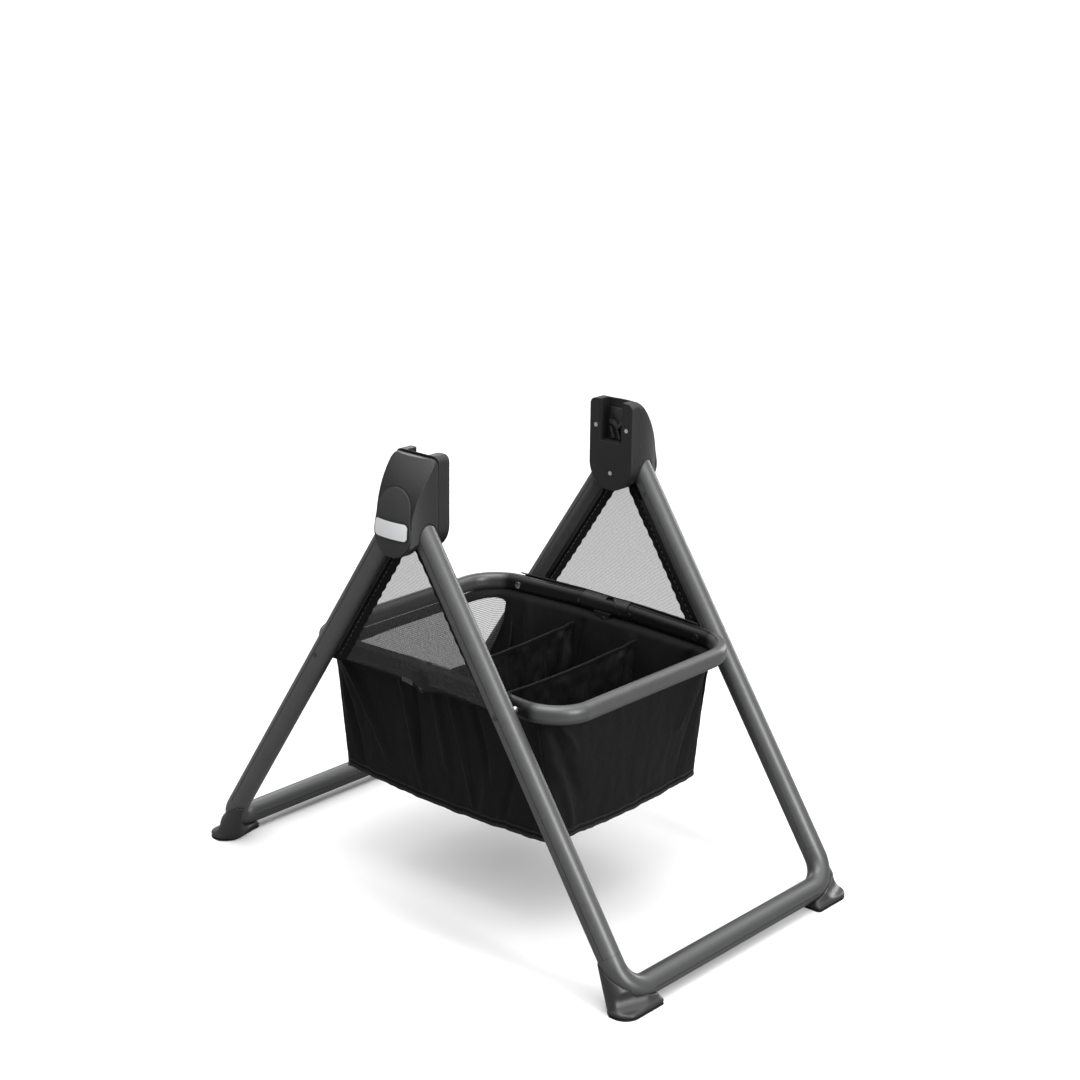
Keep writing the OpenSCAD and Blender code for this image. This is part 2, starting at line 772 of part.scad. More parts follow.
// fabric wall across the basket
module divider(y) {
    low = basket_z + cloth + 4;
    color("#1c1d1f") translate([0, y + 1.5, 0]) rotate([90, 0, 0]) linear_extrude(3)
        polygon([[-basket_half_x(low), low], [basket_half_x(low), low],
                 [basket_half_x(divider_top), divider_top], [-basket_half_x(divider_top), divider_top]]);
}

// stiff board that keeps the floor of the basket flat
module basket_floor_board() {
    half_x = basket_floor_x - 8;
    half_y = basket_floor_y - 8;
    color("#101010") translate([-half_x, -half_y, basket_z + cloth + 0.3])
        cube([2 * half_x, 2 * half_y, 2.5]);
}

// three-sided net between the legs, from the hub down to the rim
module mesh_panel(side) {
    edge = (tube_r + rail_proud + 0.6) / cos(splay);
    top_z = 558;
    low_z = 386;
    color("#a9abac") on_side(side) along_x(mesh_x - 0.6, mesh_x + 0.6) polygon([
        for (p = [[-1, low_z], [-1, top_z], [1, top_z], [1, low_z]])
            [p[0] * (pivot_y + (pivot_z - p[1]) * tan(splay) - edge), p[1]]
    ]);
}

// woven band on the outer side of the rim, below the mesh, clear of the hinge pins' heads
module side_band(side) {
    low = 356;
    high = 387;
    half_len = 138;
    color("#6a6b6d") on_side(side) along_x(band_x, band_x + band_t)
        translate([-half_len, low]) square([2 * half_len, high - low]);
}

module side_label() {
    gap = 0.1;
    label_t = 0.8;
    color("#8a8b8d") on_side(LEFT) along_x(band_x + band_t + gap, band_x + band_t + gap + label_t)
        translate([14, 353]) square([22, 8]);
}

inner_plate(LEFT);  // left_inner_plate
inner_plate(RIGHT);  // right_inner_plate
socket_housing(LEFT);  // left_socket_housing
socket_housing(RIGHT);  // right_socket_housing
outer_shell(LEFT);  // left_outer_shell
outer_shell(RIGHT);  // right_outer_shell
cover_plate(LEFT);  // left_cover_plate
cover_plate(RIGHT);  // right_cover_plate
badge(LEFT);  // left_badge
badge(RIGHT);  // right_badge
catch_ribs(LEFT);  // left_catch_ribs
catch_ribs(RIGHT);  // right_catch_ribs
hub_screw_set(LEFT);  // left_hub_screws
hub_screw_set(RIGHT);  // right_hub_screws
leg_pivot_pins(LEFT);  // left_leg_pivot_pins
leg_pivot_pins(RIGHT);  // right_leg_pivot_pins
leg(LEFT);  // front_left_leg
leg(RIGHT);  // front_right_leg
leg_plug(LEFT);  // front_left_leg_plug
leg_plug(RIGHT);  // front_right_leg_plug
keder_rail(LEFT);  // front_left_keder_rail
keder_rail(RIGHT);  // front_right_keder_rail
ground_tube();  // front_ground_tube
foot(LEFT);  // front_left_foot
foot(RIGHT);  // front_right_foot
foot_pads();  // front_foot_pads
front_rim_stub_pins();
rear_leg(LEFT);  // rear_left_leg
rear_leg(RIGHT);  // rear_right_leg
at_rear() leg_plug(LEFT);  // rear_left_leg_plug
at_rear() leg_plug(RIGHT);  // rear_right_leg_plug
at_rear() keder_rail(LEFT);  // rear_left_keder_rail
at_rear() keder_rail(RIGHT);  // rear_right_keder_rail
at_rear() ground_tube();  // rear_ground_tube
at_rear() foot(LEFT);  // rear_left_foot
at_rear() foot(RIGHT);  // rear_right_foot
at_rear() foot_pads();  // rear_foot_pads
rear_rim_pivot_pins();
rim_tube(false);  // front_rim_tube
front_knuckle(LEFT);  // front_left_knuckle
front_knuckle(RIGHT);  // front_right_knuckle
knuckle_screws();  // front_knuckle_screws
front_rim_rivets();
at_rear() rim_tube(true);  // rear_rim_tube
rear_knuckle(LEFT);  // rear_left_knuckle
rear_knuckle(RIGHT);  // rear_right_knuckle
at_rear() knuckle_screws();  // rear_knuckle_screws
rim_hinge_pins();
storage_basket();
rear_mesh_window();
divider(front_divider_y);  // front_divider
divider(rear_divider_y);  // rear_divider
basket_floor_board();
mesh_panel(LEFT);  // left_mesh_panel
mesh_panel(RIGHT);  // right_mesh_panel
side_band(LEFT);  // left_side_band
side_band(RIGHT);  // right_side_band
side_label();
plug_screws();  // front_plug_screws
at_rear() plug_screws();  // rear_plug_screws
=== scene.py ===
# %% [markdown]
# # A folding stand for a carry-cot, step by step
# The stand has two moulded hubs on splayed tube legs, a folding basket rim between them and a
# sewn storage basket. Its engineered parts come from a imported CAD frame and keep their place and
# shape. This lesson gives them finishes and makes what plain solids can't show: soft moulded feet,
# nets, bands and the sewn basket. Everything is in metres, front at -Y, with the floor at 0.

# %% load the frame
import json
import math
import bmesh
import bpy
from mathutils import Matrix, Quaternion, Vector, noise


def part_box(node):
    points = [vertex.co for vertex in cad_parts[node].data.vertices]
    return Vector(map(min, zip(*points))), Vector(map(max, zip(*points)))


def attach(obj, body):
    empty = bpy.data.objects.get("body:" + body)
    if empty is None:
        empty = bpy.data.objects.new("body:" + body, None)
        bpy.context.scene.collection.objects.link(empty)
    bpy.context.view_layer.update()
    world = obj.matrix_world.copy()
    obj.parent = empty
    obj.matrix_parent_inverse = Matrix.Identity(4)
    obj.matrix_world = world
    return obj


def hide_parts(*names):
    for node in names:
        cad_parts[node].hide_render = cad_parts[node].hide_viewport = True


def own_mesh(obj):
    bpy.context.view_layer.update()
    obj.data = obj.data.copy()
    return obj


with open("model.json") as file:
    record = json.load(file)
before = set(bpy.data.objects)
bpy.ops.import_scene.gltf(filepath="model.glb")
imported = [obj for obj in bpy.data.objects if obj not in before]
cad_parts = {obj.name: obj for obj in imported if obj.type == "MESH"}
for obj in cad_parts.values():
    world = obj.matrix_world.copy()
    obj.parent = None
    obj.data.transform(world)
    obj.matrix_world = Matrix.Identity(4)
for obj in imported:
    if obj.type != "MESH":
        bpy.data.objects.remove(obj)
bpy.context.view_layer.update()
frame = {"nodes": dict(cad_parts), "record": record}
MM = 0.001
for body, members in frame["record"]["behaviour"]["bodies"].items():
    print(body, "carries", len(members), "nodes")

# %% [markdown]
# ## Camera and studio
# A long lens from the left front corner, a little above the hubs, shows one hub from outside and
# the other from inside, with the basket between them. The room is a white sweep: the light comes
# mostly from above, so the floor stays white and the shadow under the basket stays soft.


# %% camera
def place_camera(azimuth, elevation, roll, aim, distance, lens):
    """A camera that looks at aim from that azimuth (0 looks along +Y) and elevation, in degrees."""
    turn, rise = math.radians(azimuth), math.radians(elevation)
    back = Vector((math.sin(turn) * math.cos(rise), -math.cos(turn) * math.cos(rise), math.sin(rise)))
    data = bpy.data.cameras.new("corner_camera")
    data.lens = lens
    data.sensor_width = 36
    camera = bpy.data.objects.new("corner_camera", data)
    bpy.context.scene.collection.objects.link(camera)
    camera.rotation_mode = "QUATERNION"
    camera.location = aim + back * distance
    level = (-back).to_track_quat("-Z", "Y")
    camera.rotation_quaternion = level @ Quaternion((0, 0, 1), math.radians(roll))
    return camera


scene = bpy.context.scene
scene.camera = place_camera(-48.36, 17.39, 0.68, Vector((0.0385, 0, 0.517)), 3.2547, 72.87)
scene.view_settings.view_transform = "Standard"
print("camera at", [round(v, 3) for v in scene.camera.location])


# %% node helpers
def add_node(tree, kind, inputs=None, **settings):
    """A shader node with its settings, and with each input set to a value or joined to a socket."""
    made = tree.nodes.new("ShaderNode" + kind)
    for name, value in settings.items():
        setattr(made, name, value)
    for name, value in (inputs or {}).items():
        if isinstance(value, bpy.types.NodeSocket):
            tree.links.new(value, made.inputs[name])
        else:
            made.inputs[name].default_value = value
    return made


def compute(tree, operation, *values, clamp=False):
    """A Math node's result."""
    return add_node(tree, "Math", dict(enumerate(values)), operation=operation, use_clamp=clamp).outputs[0]


def blend_colour(tree, share, low, high):
    """The colour between low and high, at that share."""
    mix = add_node(tree, "Mix", data_type="RGBA")
    for socket, value in zip((mix.inputs[0], mix.inputs[6], mix.inputs[7]), (share, low, high)):
        if isinstance(value, bpy.types.NodeSocket):
            tree.links.new(value, socket)
        else:
            socket.default_value = value
    return mix.outputs[2]


def grey(value, tint=0.0):
    """A neutral colour, a little bluer as tint rises."""
    return (value * (1 - tint), value, value * (1 + tint), 1)


# %% floor and light
def make_floor(half):
    """A white paper floor. It looks white, but sends little light back up onto the object."""
    mesh = bpy.data.meshes.new("floor")
    corners = [(-half, -half, 0), (half, -half, 0), (half, half, 0), (-half, half, 0)]
    mesh.from_pydata(corners, [], [(0, 1, 2, 3)])
    floor = bpy.data.objects.new("floor", mesh)
    scene.collection.objects.link(floor)
    paper = bpy.data.materials.new("white_sweep")
    paper.use_nodes = True
    tree = paper.node_tree
    shader = tree.nodes["Principled BSDF"]
    place = add_node(tree, "TexCoord").outputs["Object"]
    cloud = add_node(tree, "TexNoise", {"Vector": place, "Scale": 3.0, "Detail": 2.0}).outputs["Fac"]
    seen = add_node(tree, "LightPath").outputs["Is Camera Ray"]
    lit = blend_colour(tree, cloud, grey(0.76), grey(0.79))
    tree.links.new(blend_colour(tree, seen, grey(0.24), lit), shader.inputs["Base Color"])
    shader.inputs["Roughness"].default_value = 0.9
    shader.inputs["Specular IOR Level"].default_value = 0.2
    mesh.materials.append(paper)


def make_sky(overhead, around):
    """Room light, brightest overhead, that looks plain white behind the object."""
    world = bpy.data.worlds.new("white_room")
    scene.world = world
    world.use_nodes = True
    tree = world.node_tree
    tree.nodes.clear()
    direction = add_node(tree, "TexCoord").outputs["Generated"]
    height = add_node(tree, "SeparateXYZ", {"Vector": direction}).outputs["Z"]
    ramp = {"Value": height, "From Min": 0.1, "From Max": 0.95}
    share = add_node(tree, "MapRange", ramp, interpolation_type="SMOOTHSTEP").outputs[0]
    light = blend_colour(tree, share, grey(around), grey(overhead))
    seen = add_node(tree, "LightPath").outputs["Is Camera Ray"]
    colour = blend_colour(tree, seen, light, grey(1.0))
    background = add_node(tree, "Background", {"Color": colour, "Strength": 1.0})
    tree.links.new(background.outputs[0], add_node(tree, "OutputWorld").inputs["Surface"])


def make_softbox(name, place, aim, width, height, power):
    """A rectangular lamp at place, turned to aim."""
    data = bpy.data.lights.new(name, "AREA")
    data.shape = "RECTANGLE"
    data.size, data.size_y = width, height
    data.energy = power
    lamp = bpy.data.objects.new(name, data)
    lamp.location = place
    lamp.rotation_euler = (Vector(aim) - Vector(place)).to_track_quat("-Z", "Y").to_euler()
    scene.collection.objects.link(lamp)


make_floor(40)
make_sky(2.0, 0.10)
middle = (0, 0, 0.4)
make_softbox("front_softbox", (-0.25, -3.1, 1.25), (-0.1, 0, 0.75), 0.55, 2.3, 76)
make_softbox("right_softbox", (3.2, -0.3, 1.1), (0, 0, 0.6), 0.6, 1.8, 34)
make_softbox("rear_softbox", (1.4, 2.6, 2.0), middle, 1.6, 1.2, 26)
make_softbox("top_softbox", (-0.4, -0.3, 2.6), middle, 1.4, 1.4, 30)
print("four softboxes in a white room")

# %% [markdown]
# ## Shared surface effects
# Each effect is a node group, built once: a speckle for paint and moulded grain, rubbed edges, and
# the weaves. A group only puts out masks and heights, so that the same effect can serve a glossy
# paint and a matt plastic, which keep their own shaders.


# %% effect groups
def new_group(name, inputs, outputs):
    """An empty group with inputs {name: default, or None for a vector} and outputs {name: type}."""
    tree = bpy.data.node_groups.new(name, "ShaderNodeTree")
    for label, default in inputs.items():
        kind = "NodeSocketVector" if default is None else "NodeSocketFloat"
        socket = tree.interface.new_socket(label, in_out="INPUT", socket_type=kind)
        if default is not None:
            socket.default_value = default
    for label, kind in outputs.items():
        tree.interface.new_socket(label, in_out="OUTPUT", socket_type="NodeSocket" + kind)
    return tree, tree.nodes.new("NodeGroupInput").outputs, tree.nodes.new("NodeGroupOutput").inputs


def make_speckle():
    """Grain and cloudy patches, sizes in mm: Tone and Patch for colour, Height for bump."""
    tree, given, out = new_group("speckle", {"Place": None, "Grain Size": 0.5, "Patch Size": 40.0},
                                 {"Tone": "Float", "Height": "Float", "Patch": "Float"})
    fine_scale = compute(tree, "DIVIDE", 1000.0, given["Grain Size"])
    fine = add_node(tree, "TexNoise", {"Vector": given["Place"], "Scale": fine_scale, "Detail": 2.0})
    patch_scale = compute(tree, "DIVIDE", 1000.0, given["Patch Size"])
    patch = add_node(tree, "TexNoise", {"Vector": given["Place"], "Scale": patch_scale, "Detail": 3.0})
    centred = compute(tree, "SUBTRACT", fine.outputs["Fac"], 0.5)
    tone = compute(tree, "MULTIPLY_ADD", centred, 2.2, 0.5, clamp=True)
    tree.links.new(tone, out["Tone"])
    tree.links.new(fine.outputs["Fac"], out["Height"])
    tree.links.new(patch.outputs["Fac"], out["Patch"])
    return tree


def make_soft_edge():
    """Rub is a broken mask along sharp outer edges, where a finish wears first; on the slot's catch it
    lightens the edges as painted highlight.
    """
    tree, given, out = new_group("soft_edge", {"Rub Scale": 60.0}, {"Rub": "Float"})
    sharpness = add_node(tree, "NewGeometry").outputs["Pointiness"]
    edge = add_node(tree, "MapRange", {"Value": sharpness, "From Min": 0.52, "From Max": 0.6}).outputs[0]
    place = add_node(tree, "TexCoord").outputs["Object"]
    breakup = add_node(tree, "TexNoise", {"Vector": place, "Scale": given["Rub Scale"], "Detail": 4.0})
    tree.links.new(compute(tree, "MULTIPLY", edge, breakup.outputs["Fac"], clamp=True), out["Rub"])
    return tree


def make_plain_weave():
    """Over-and-under weave from cloth coordinates in metres, with the yarn in mm."""
    tree, given, out = new_group("plain_weave", {"Cloth": None, "Yarn": 0.6},
                                 {"Height": "Float", "Over": "Float"})
    turns = compute(tree, "DIVIDE", 1000 * math.pi, given["Yarn"])
    axes = add_node(tree, "SeparateXYZ", {"Vector": given["Cloth"]}).outputs
    across = compute(tree, "SINE", compute(tree, "MULTIPLY", axes["X"], turns))
    along = compute(tree, "SINE", compute(tree, "MULTIPLY", axes["Y"], turns))
    over = compute(tree, "MULTIPLY_ADD", compute(tree, "MULTIPLY", across, along), 0.5, 0.5)
    rows = compute(tree, "ADD", compute(tree, "ABSOLUTE", across), compute(tree, "ABSOLUTE", along))
    tree.links.new(over, out["Over"])
    tree.links.new(compute(tree, "MULTIPLY", compute(tree, "ADD", rows, over), 0.4), out["Height"])
    return tree


def make_twill():
    """Slanted ribs from cloth coordinates in metres, with the rib in mm."""
    tree, given, out = new_group("twill", {"Cloth": None, "Rib": 1.4},
                                 {"Height": "Float", "Thread": "Float"})
    turns = compute(tree, "DIVIDE", 2000 * math.pi, given["Rib"])
    axes = add_node(tree, "SeparateXYZ", {"Vector": given["Cloth"]}).outputs
    slant = compute(tree, "ADD", axes["X"], axes["Y"])
    rib = compute(tree, "SINE", compute(tree, "MULTIPLY", slant, turns))
    twice = compute(tree, "MULTIPLY", turns, 2.0)
    thread = compute(tree, "SINE", compute(tree, "MULTIPLY", axes["X"], twice))
    tree.links.new(compute(tree, "MULTIPLY_ADD", rib, 0.5, 0.5), out["Height"])
    both = compute(tree, "ADD", rib, thread)
    tree.links.new(compute(tree, "MULTIPLY_ADD", both, 0.25, 0.5), out["Thread"])
    return tree


def make_net():
    """Rows of staggered holes from cloth coordinates in metres: Thread is 1 on yarn, 0 in a hole."""
    tree, given, out = new_group("net", {"Cloth": None, "Pitch": 2.4, "Open": 0.5}, {"Thread": "Float"})
    turns = compute(tree, "DIVIDE", 2000 * math.pi, given["Pitch"])
    axes = add_node(tree, "SeparateXYZ", {"Vector": given["Cloth"]}).outputs
    across = compute(tree, "COSINE", compute(tree, "MULTIPLY", axes["X"], turns))
    slower = compute(tree, "MULTIPLY", turns, 0.62)
    along = compute(tree, "COSINE", compute(tree, "MULTIPLY", axes["Y"], slower))
    ring = compute(tree, "ABSOLUTE", compute(tree, "MULTIPLY", across, along))
    limit = compute(tree, "MULTIPLY", compute(tree, "SUBTRACT", 1.0, given["Open"]), 0.72)
    low, high = compute(tree, "SUBTRACT", limit, 0.06), compute(tree, "ADD", limit, 0.06)
    step = {"Value": ring, "From Min": low, "From Max": high, "To Min": 1.0, "To Max": 0.0}
    tree.links.new(add_node(tree, "MapRange", step).outputs[0], out["Thread"])
    return tree


GROUPS = {"speckle": make_speckle(), "soft_edge": make_soft_edge(), "plain_weave": make_plain_weave(),
          "twill": make_twill(), "net": make_net()}
print("effects:", ", ".join(GROUPS))


# %% material helpers
def use_group(tree, name, **values):
    """Places a shared effect in a material, its inputs set by name."""
    made = tree.nodes.new("ShaderNodeGroup")
    made.node_tree = GROUPS[name]
    for label, value in values.items():
        socket = made.inputs[label.replace("_", " ").title()]
        if isinstance(value, bpy.types.NodeSocket):
            tree.links.new(value, socket)
        else:
            socket.default_value = value
    return made.outputs


def new_finish(name, **fixed):
    """A material with its Principled shader, uniform values set on the shader itself."""
    material = bpy.data.materials.new(name)
    material.use_nodes = True
    shader = material.node_tree.nodes["Principled BSDF"]
    for label, value in fixed.items():
        shader.inputs[label.replace("_", " ")].default_value = value
    return material, material.node_tree, shader


def bump(tree, shader, height, depth, normal=None):
    """Sends a height, in metres of depth, to the shader's normal."""
    made = add_node(tree, "Bump", {"Height": height, "Distance": depth, "Strength": 1.0})
    if normal is not None:
        tree.links.new(normal, made.inputs["Normal"])
    tree.links.new(made.outputs[0], shader.inputs["Normal"])


# %% [markdown]
# ## Hard finishes
# The tubes are powder-coated: a satin graphite with a fine metal sparkle, so the grain shifts both
# the colour and the gloss. The rim's side rails are painted near-black between the corner bends, as
# painted shade. Moulded parts share one recipe, spark-eroded grain with soft edges, at different
# tones. Screws and pins are plated or turned steel with a trace of machining.


# %% paint
def powder_coat(name, tone):
    """Satin powder paint with a fine metal sparkle."""
    material, tree, shader = new_finish(name, Metallic=0.55, Specular_IOR_Level=0.5)
    place = add_node(tree, "TexCoord").outputs["Object"]
    grain = use_group(tree, "speckle", place=place, grain_size=0.9, patch_size=60.0)
    rub = use_group(tree, "soft_edge", rub_scale=90.0)["Rub"]
    base = blend_colour(tree, grain["Tone"], grey(tone * 0.82, 0.01), grey(tone * 1.22, 0.01))
    tree.links.new(blend_colour(tree, compute(tree, "MULTIPLY", rub, 0.35), base, grey(tone * 1.9)),
                   shader.inputs["Base Color"])
    gloss = compute(tree, "MULTIPLY_ADD", grain["Patch"], 0.10, 0.30)
    tree.links.new(compute(tree, "MULTIPLY_ADD", grain["Tone"], 0.10, gloss), shader.inputs["Roughness"])
    bump(tree, shader, grain["Height"], 0.00006)
    return material


def rim_paint_with_rail_shade(name, tone, half_x, half_y):
    """The rim's paint, with painted shade: its side rails between the corner bends painted near-black."""
    material = powder_coat(name, tone)
    tree = material.node_tree
    colour = tree.nodes["Principled BSDF"].inputs["Base Color"]
    place = add_node(tree, "TexCoord").outputs["Object"]
    axes = add_node(tree, "SeparateXYZ", {"Vector": place}).outputs
    masks = []
    for axis, start, end in (("X", half_x - 0.004, half_x + 0.004), ("Y", half_y + 0.006, half_y - 0.006)):
        limits = {"Value": compute(tree, "ABSOLUTE", axes[axis]), "From Min": start, "From Max": end}
        masks.append(add_node(tree, "MapRange", limits).outputs[0])
    # painted shade: the rim's side rails between the corner bends turn near-black
    rail_shade_mask = compute(tree, "MULTIPLY", *masks)
    bare = colour.links[0].from_socket
    tree.links.new(blend_colour(tree, rail_shade_mask, bare, grey(0.012)), colour)
    return material


def moulded(name, tone, roughness, bevel=0.001, edge_wear_and_highlight_tone=1.6):
    """Moulded plastic with eroded grain, its sharp edges lighter by the edge tone: rubbed wear at a low tone,
    painted highlight at a high one. The Bevel node rounds the look of sharp edges.
    """
    tint = 0.01
    material, tree, shader = new_finish(name, Specular_IOR_Level=0.45)
    place = add_node(tree, "TexCoord").outputs["Object"]
    grain = use_group(tree, "speckle", place=place, grain_size=0.7, patch_size=35.0)
    rub = use_group(tree, "soft_edge", rub_scale=120.0)["Rub"]
    base = blend_colour(tree, grain["Patch"], grey(tone * 0.88, tint), grey(tone * 1.12, tint))
    # sharp edges lighter: rubbed wear, and painted highlight where the edge tone is high
    tree.links.new(blend_colour(tree, compute(tree, "MULTIPLY", rub, 0.4), base, grey(tone * edge_wear_and_highlight_tone, tint)),
                   shader.inputs["Base Color"])
    gloss = compute(tree, "MULTIPLY_ADD", grain["Tone"], 0.12, roughness - 0.06)
    tree.links.new(gloss, shader.inputs["Roughness"])
    rounded = add_node(tree, "Bevel", {"Radius": bevel}, samples=4).outputs[0]
    bump(tree, shader, grain["Height"], 0.00005, normal=rounded)
    return material


def steel(name, tone, roughness, tint=0.0):
    """Turned or plated steel, with faint machining marks."""
    material, tree, shader = new_finish(name, Metallic=1.0)
    place = add_node(tree, "TexCoord").outputs["Object"]
    grain = use_group(tree, "speckle", place=place, grain_size=0.4, patch_size=6.0)
    tree.links.new(blend_colour(tree, grain["Patch"], grey(tone * 0.85, tint), grey(tone * 1.1, tint)),
                   shader.inputs["Base Color"])
    gloss = compute(tree, "MULTIPLY_ADD", grain["Tone"], 0.14, roughness - 0.07)
    tree.links.new(gloss, shader.inputs["Roughness"])
    rounded = add_node(tree, "Bevel", {"Radius": 0.0004}, samples=4).outputs[0]
    bump(tree, shader, grain["Height"], 0.00002, normal=rounded)
    return material


def edge_shadow(tree, middle_z, half_w, half_h, corner, line):
    """1 within a line of the rim of a rounded plate that faces sideways, 0 inside it."""
    place = add_node(tree, "TexCoord").outputs["Object"]
    axes = add_node(tree, "SeparateXYZ", {"Vector": place}).outputs
    rise = compute(tree, "SUBTRACT", axes["Z"], middle_z)
    squares = []
    for distance, straight in ((axes["Y"], half_w - corner), (rise, half_h - corner)):
        beyond = compute(tree, "SUBTRACT", compute(tree, "ABSOLUTE", distance), straight)
        squares.append(compute(tree, "POWER", compute(tree, "MAXIMUM", beyond, 0.0), 2.0))
    far = compute(tree, "SQRT", compute(tree, "ADD", *squares))
    limits = {"Value": far, "From Min": corner - line, "From Max": corner - line * 0.6}
    return add_node(tree, "MapRange", limits).outputs[0]


def with_painted_gap_shade(material, tone, *edge):
    """Adds painted shade, for the gap round a plate's rim, to its finish."""
    tree = material.node_tree
    colour = tree.nodes["Principled BSDF"].inputs["Base Color"]
    bare = colour.links[0].from_socket
    # painted shade: the plate's rim turns dark, for the gap round it
    tree.links.new(blend_colour(tree, edge_shadow(tree, *edge), bare, grey(tone)), colour)
    return material


def badge_finish():
    """A blank pale satin plate with painted shade in a thin line round its rim, for the gap round it."""
    low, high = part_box("left_badge")
    corner, gap = 0.008, 0.0024
    material = moulded("pale_satin_plate", 0.82, 0.38, bevel=0.0006, edge_wear_and_highlight_tone=1.0)
    material.node_tree.nodes["Principled BSDF"].inputs["Metallic"].default_value = 0.25
    middle_z, half_h = (low[2] + high[2]) / 2, (high[2] - low[2]) / 2
    return with_painted_gap_shade(material, 0.01, middle_z, high[1], half_h, corner, gap)


def pin_steel(name, tone, roughness, painted_beyond):
    """Turned steel, with the pin's end on the outside of the leg under the leg's paint."""
    material = steel(name, tone, roughness)
    tree = material.node_tree
    shader = tree.nodes["Principled BSDF"]
    place = add_node(tree, "TexCoord").outputs["Object"]
    axes = add_node(tree, "SeparateXYZ", {"Vector": place}).outputs
    sideways = compute(tree, "ABSOLUTE", axes["X"])
    outside = compute(tree, "GREATER_THAN", sideways, painted_beyond)
    bare = shader.inputs["Base Color"].links[0].from_socket
    tree.links.new(blend_colour(tree, outside, bare, grey(0.09)), shader.inputs["Base Color"])
    gloss = shader.inputs["Roughness"].links[0].from_socket
    tree.links.new(compute(tree, "MULTIPLY_ADD", outside, 0.2, gloss), shader.inputs["Roughness"])
    return material


# %% paint the CAD nodes
FINISH = {
    "leg_paint": powder_coat("graphite_powder_coat", 0.085),
    "hub_shell": moulded("satin_charcoal_moulding", 0.014, 0.36, bevel=0.0025),
    "hub_plate": moulded("fine_textured_black_moulding", 0.009, 0.46),
    "cover_plastic": moulded("matt_charcoal_cover", 0.024, 0.62),
    "badge_silver": badge_finish(),
    "black_plastic": moulded("black_moulding", 0.005, 0.42),
    "foot_plastic": moulded("foot_moulding", 0.022, 0.36, bevel=0.003),
    "sole_rubber": moulded("sole_rubber", 0.008, 0.8),
    "zinc_screw": steel("zinc_plating", 0.78, 0.35, -0.02),
    "bright_steel": pin_steel("turned_steel", 0.74, 0.2, 0.246),
    "dark_steel": steel("blackened_steel", 0.12, 0.38),
    "stiff_board": moulded("fibre_board", 0.012, 0.8),
}
# the rim's paint, with painted shade on its side rails
RIM = rim_paint_with_rail_shade("rim_paint_with_painted_rail_shade", 0.085, 0.176, 0.208)
# the catch's edges painted far lighter: painted highlight on its ribs
CATCH = moulded("catch_moulding_with_painted_edge_highlight", 0.008, 0.3, bevel=0.0012, edge_wear_and_highlight_tone=20)


def finish_nodes():
    """Puts each CAD node's finish on it, as its material slot in the record says."""
    painted = 0
    for part in frame["record"]["subparts"]:
        material = FINISH.get(part["material_slot"])
        if "catch" in part["node"]:
            material = CATCH
        elif "rim_tube" in part["node"]:
            material = RIM
        if material is None:
            continue
        mesh = frame["nodes"][part["node"]].data
        mesh.materials.clear()
        mesh.materials.append(material)
        painted += 1
    return painted


print("painted", finish_nodes(), "CAD nodes")

# %% [markdown]
# ## Moulded feet
# A foot is one soft moulding, so its blends matter more than its edges. The CAD foot gives the
# form; here its mesh is made even and relaxed until the blends flow.


# %% feet
def bake(made):
    """Makes an object's modifiers part of its mesh."""
    bpy.context.view_layer.update()
    solid = bpy.data.meshes.new_from_object(made.evaluated_get(bpy.context.evaluated_depsgraph_get()))
    made.modifiers.clear()
    made.data = solid


def soften(node, cell, rounds):
    """A smoother copy of a CAD node: an even mesh over its form, relaxed."""
    source = frame["nodes"][node]
    copy = bpy.data.objects.new(node + "_soft", source.data.copy())
    scene.collection.objects.link(copy)
    even = copy.modifiers.new("even", "REMESH")
    even.mode = "VOXEL"
    even.voxel_size = cell
    relax = copy.modifiers.new("relax", "SMOOTH")
    relax.factor = 0.5
    relax.iterations = rounds
    bake(copy)
    copy.data.polygons.foreach_set("use_smooth", [True] * len(copy.data.polygons))
    copy.data.materials.clear()
    copy.data.materials.append(source.data.materials[0])
    return copy


for end in ("front", "rear"):
    for side in ("left", "right"):
        node = "%s_%s_foot" % (end, side)
        foot = soften(node, 0.0016, 22)
        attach(foot, end + "_legs")
        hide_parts(node)
print("four feet softened")

# %% [markdown]
# ## Sewn parts
# The basket is cut from five panels of a dense black cloth with a coated lining. A panel can be
# shaped by simulation or by sewing logic; here each panel is a fine grid whose outline follows the
# rim above and the floor board below, and tension folds run from the corners where the cloth hangs.
# A fold is a soft ridge along a line on the panel, so its place and depth can be read off the list.


# %% cloth helpers
def smooth(value, low, high):
    """0 below low, 1 above high, and a soft step between them."""
    share = min(1.0, max(0.0, (value - low) / (high - low)))
    return share * share * (3 - 2 * share)


def ridge(u, v, line, width):
    """Height, 0 to 1, of a soft fold along line (u0, v0, u1, v1), thinning out at both ends."""
    u0, v0, u1, v1 = line
    du, dv = u1 - u0, v1 - v0
    run = ((u - u0) * du + (v - v0) * dv) / (du * du + dv * dv)
    reach = min(1.0, max(0.0, run))
    away = math.hypot(u - u0 - reach * du, v - v0 - reach * dv)
    fullness = math.sin(math.pi * (0.12 + 0.8 * reach)) ** 0.8
    return math.exp(-(away / width) ** 2) * fullness


def crumple(place, size, seed):
    """Small wrinkles between -1 and 1, their size in metres."""
    return noise.fractal(Vector(place) / size + Vector((seed, 0, 0)), 1.0, 2.0, 3)


def to_object(name, mesh, material):
    """A smooth-shaded object of a mesh, in one material."""
    made = bpy.data.objects.new(name, mesh)
    scene.collection.objects.link(made)
    mesh.materials.append(material)
    mesh.polygons.foreach_set("use_smooth", [True] * len(mesh.polygons))
    return made


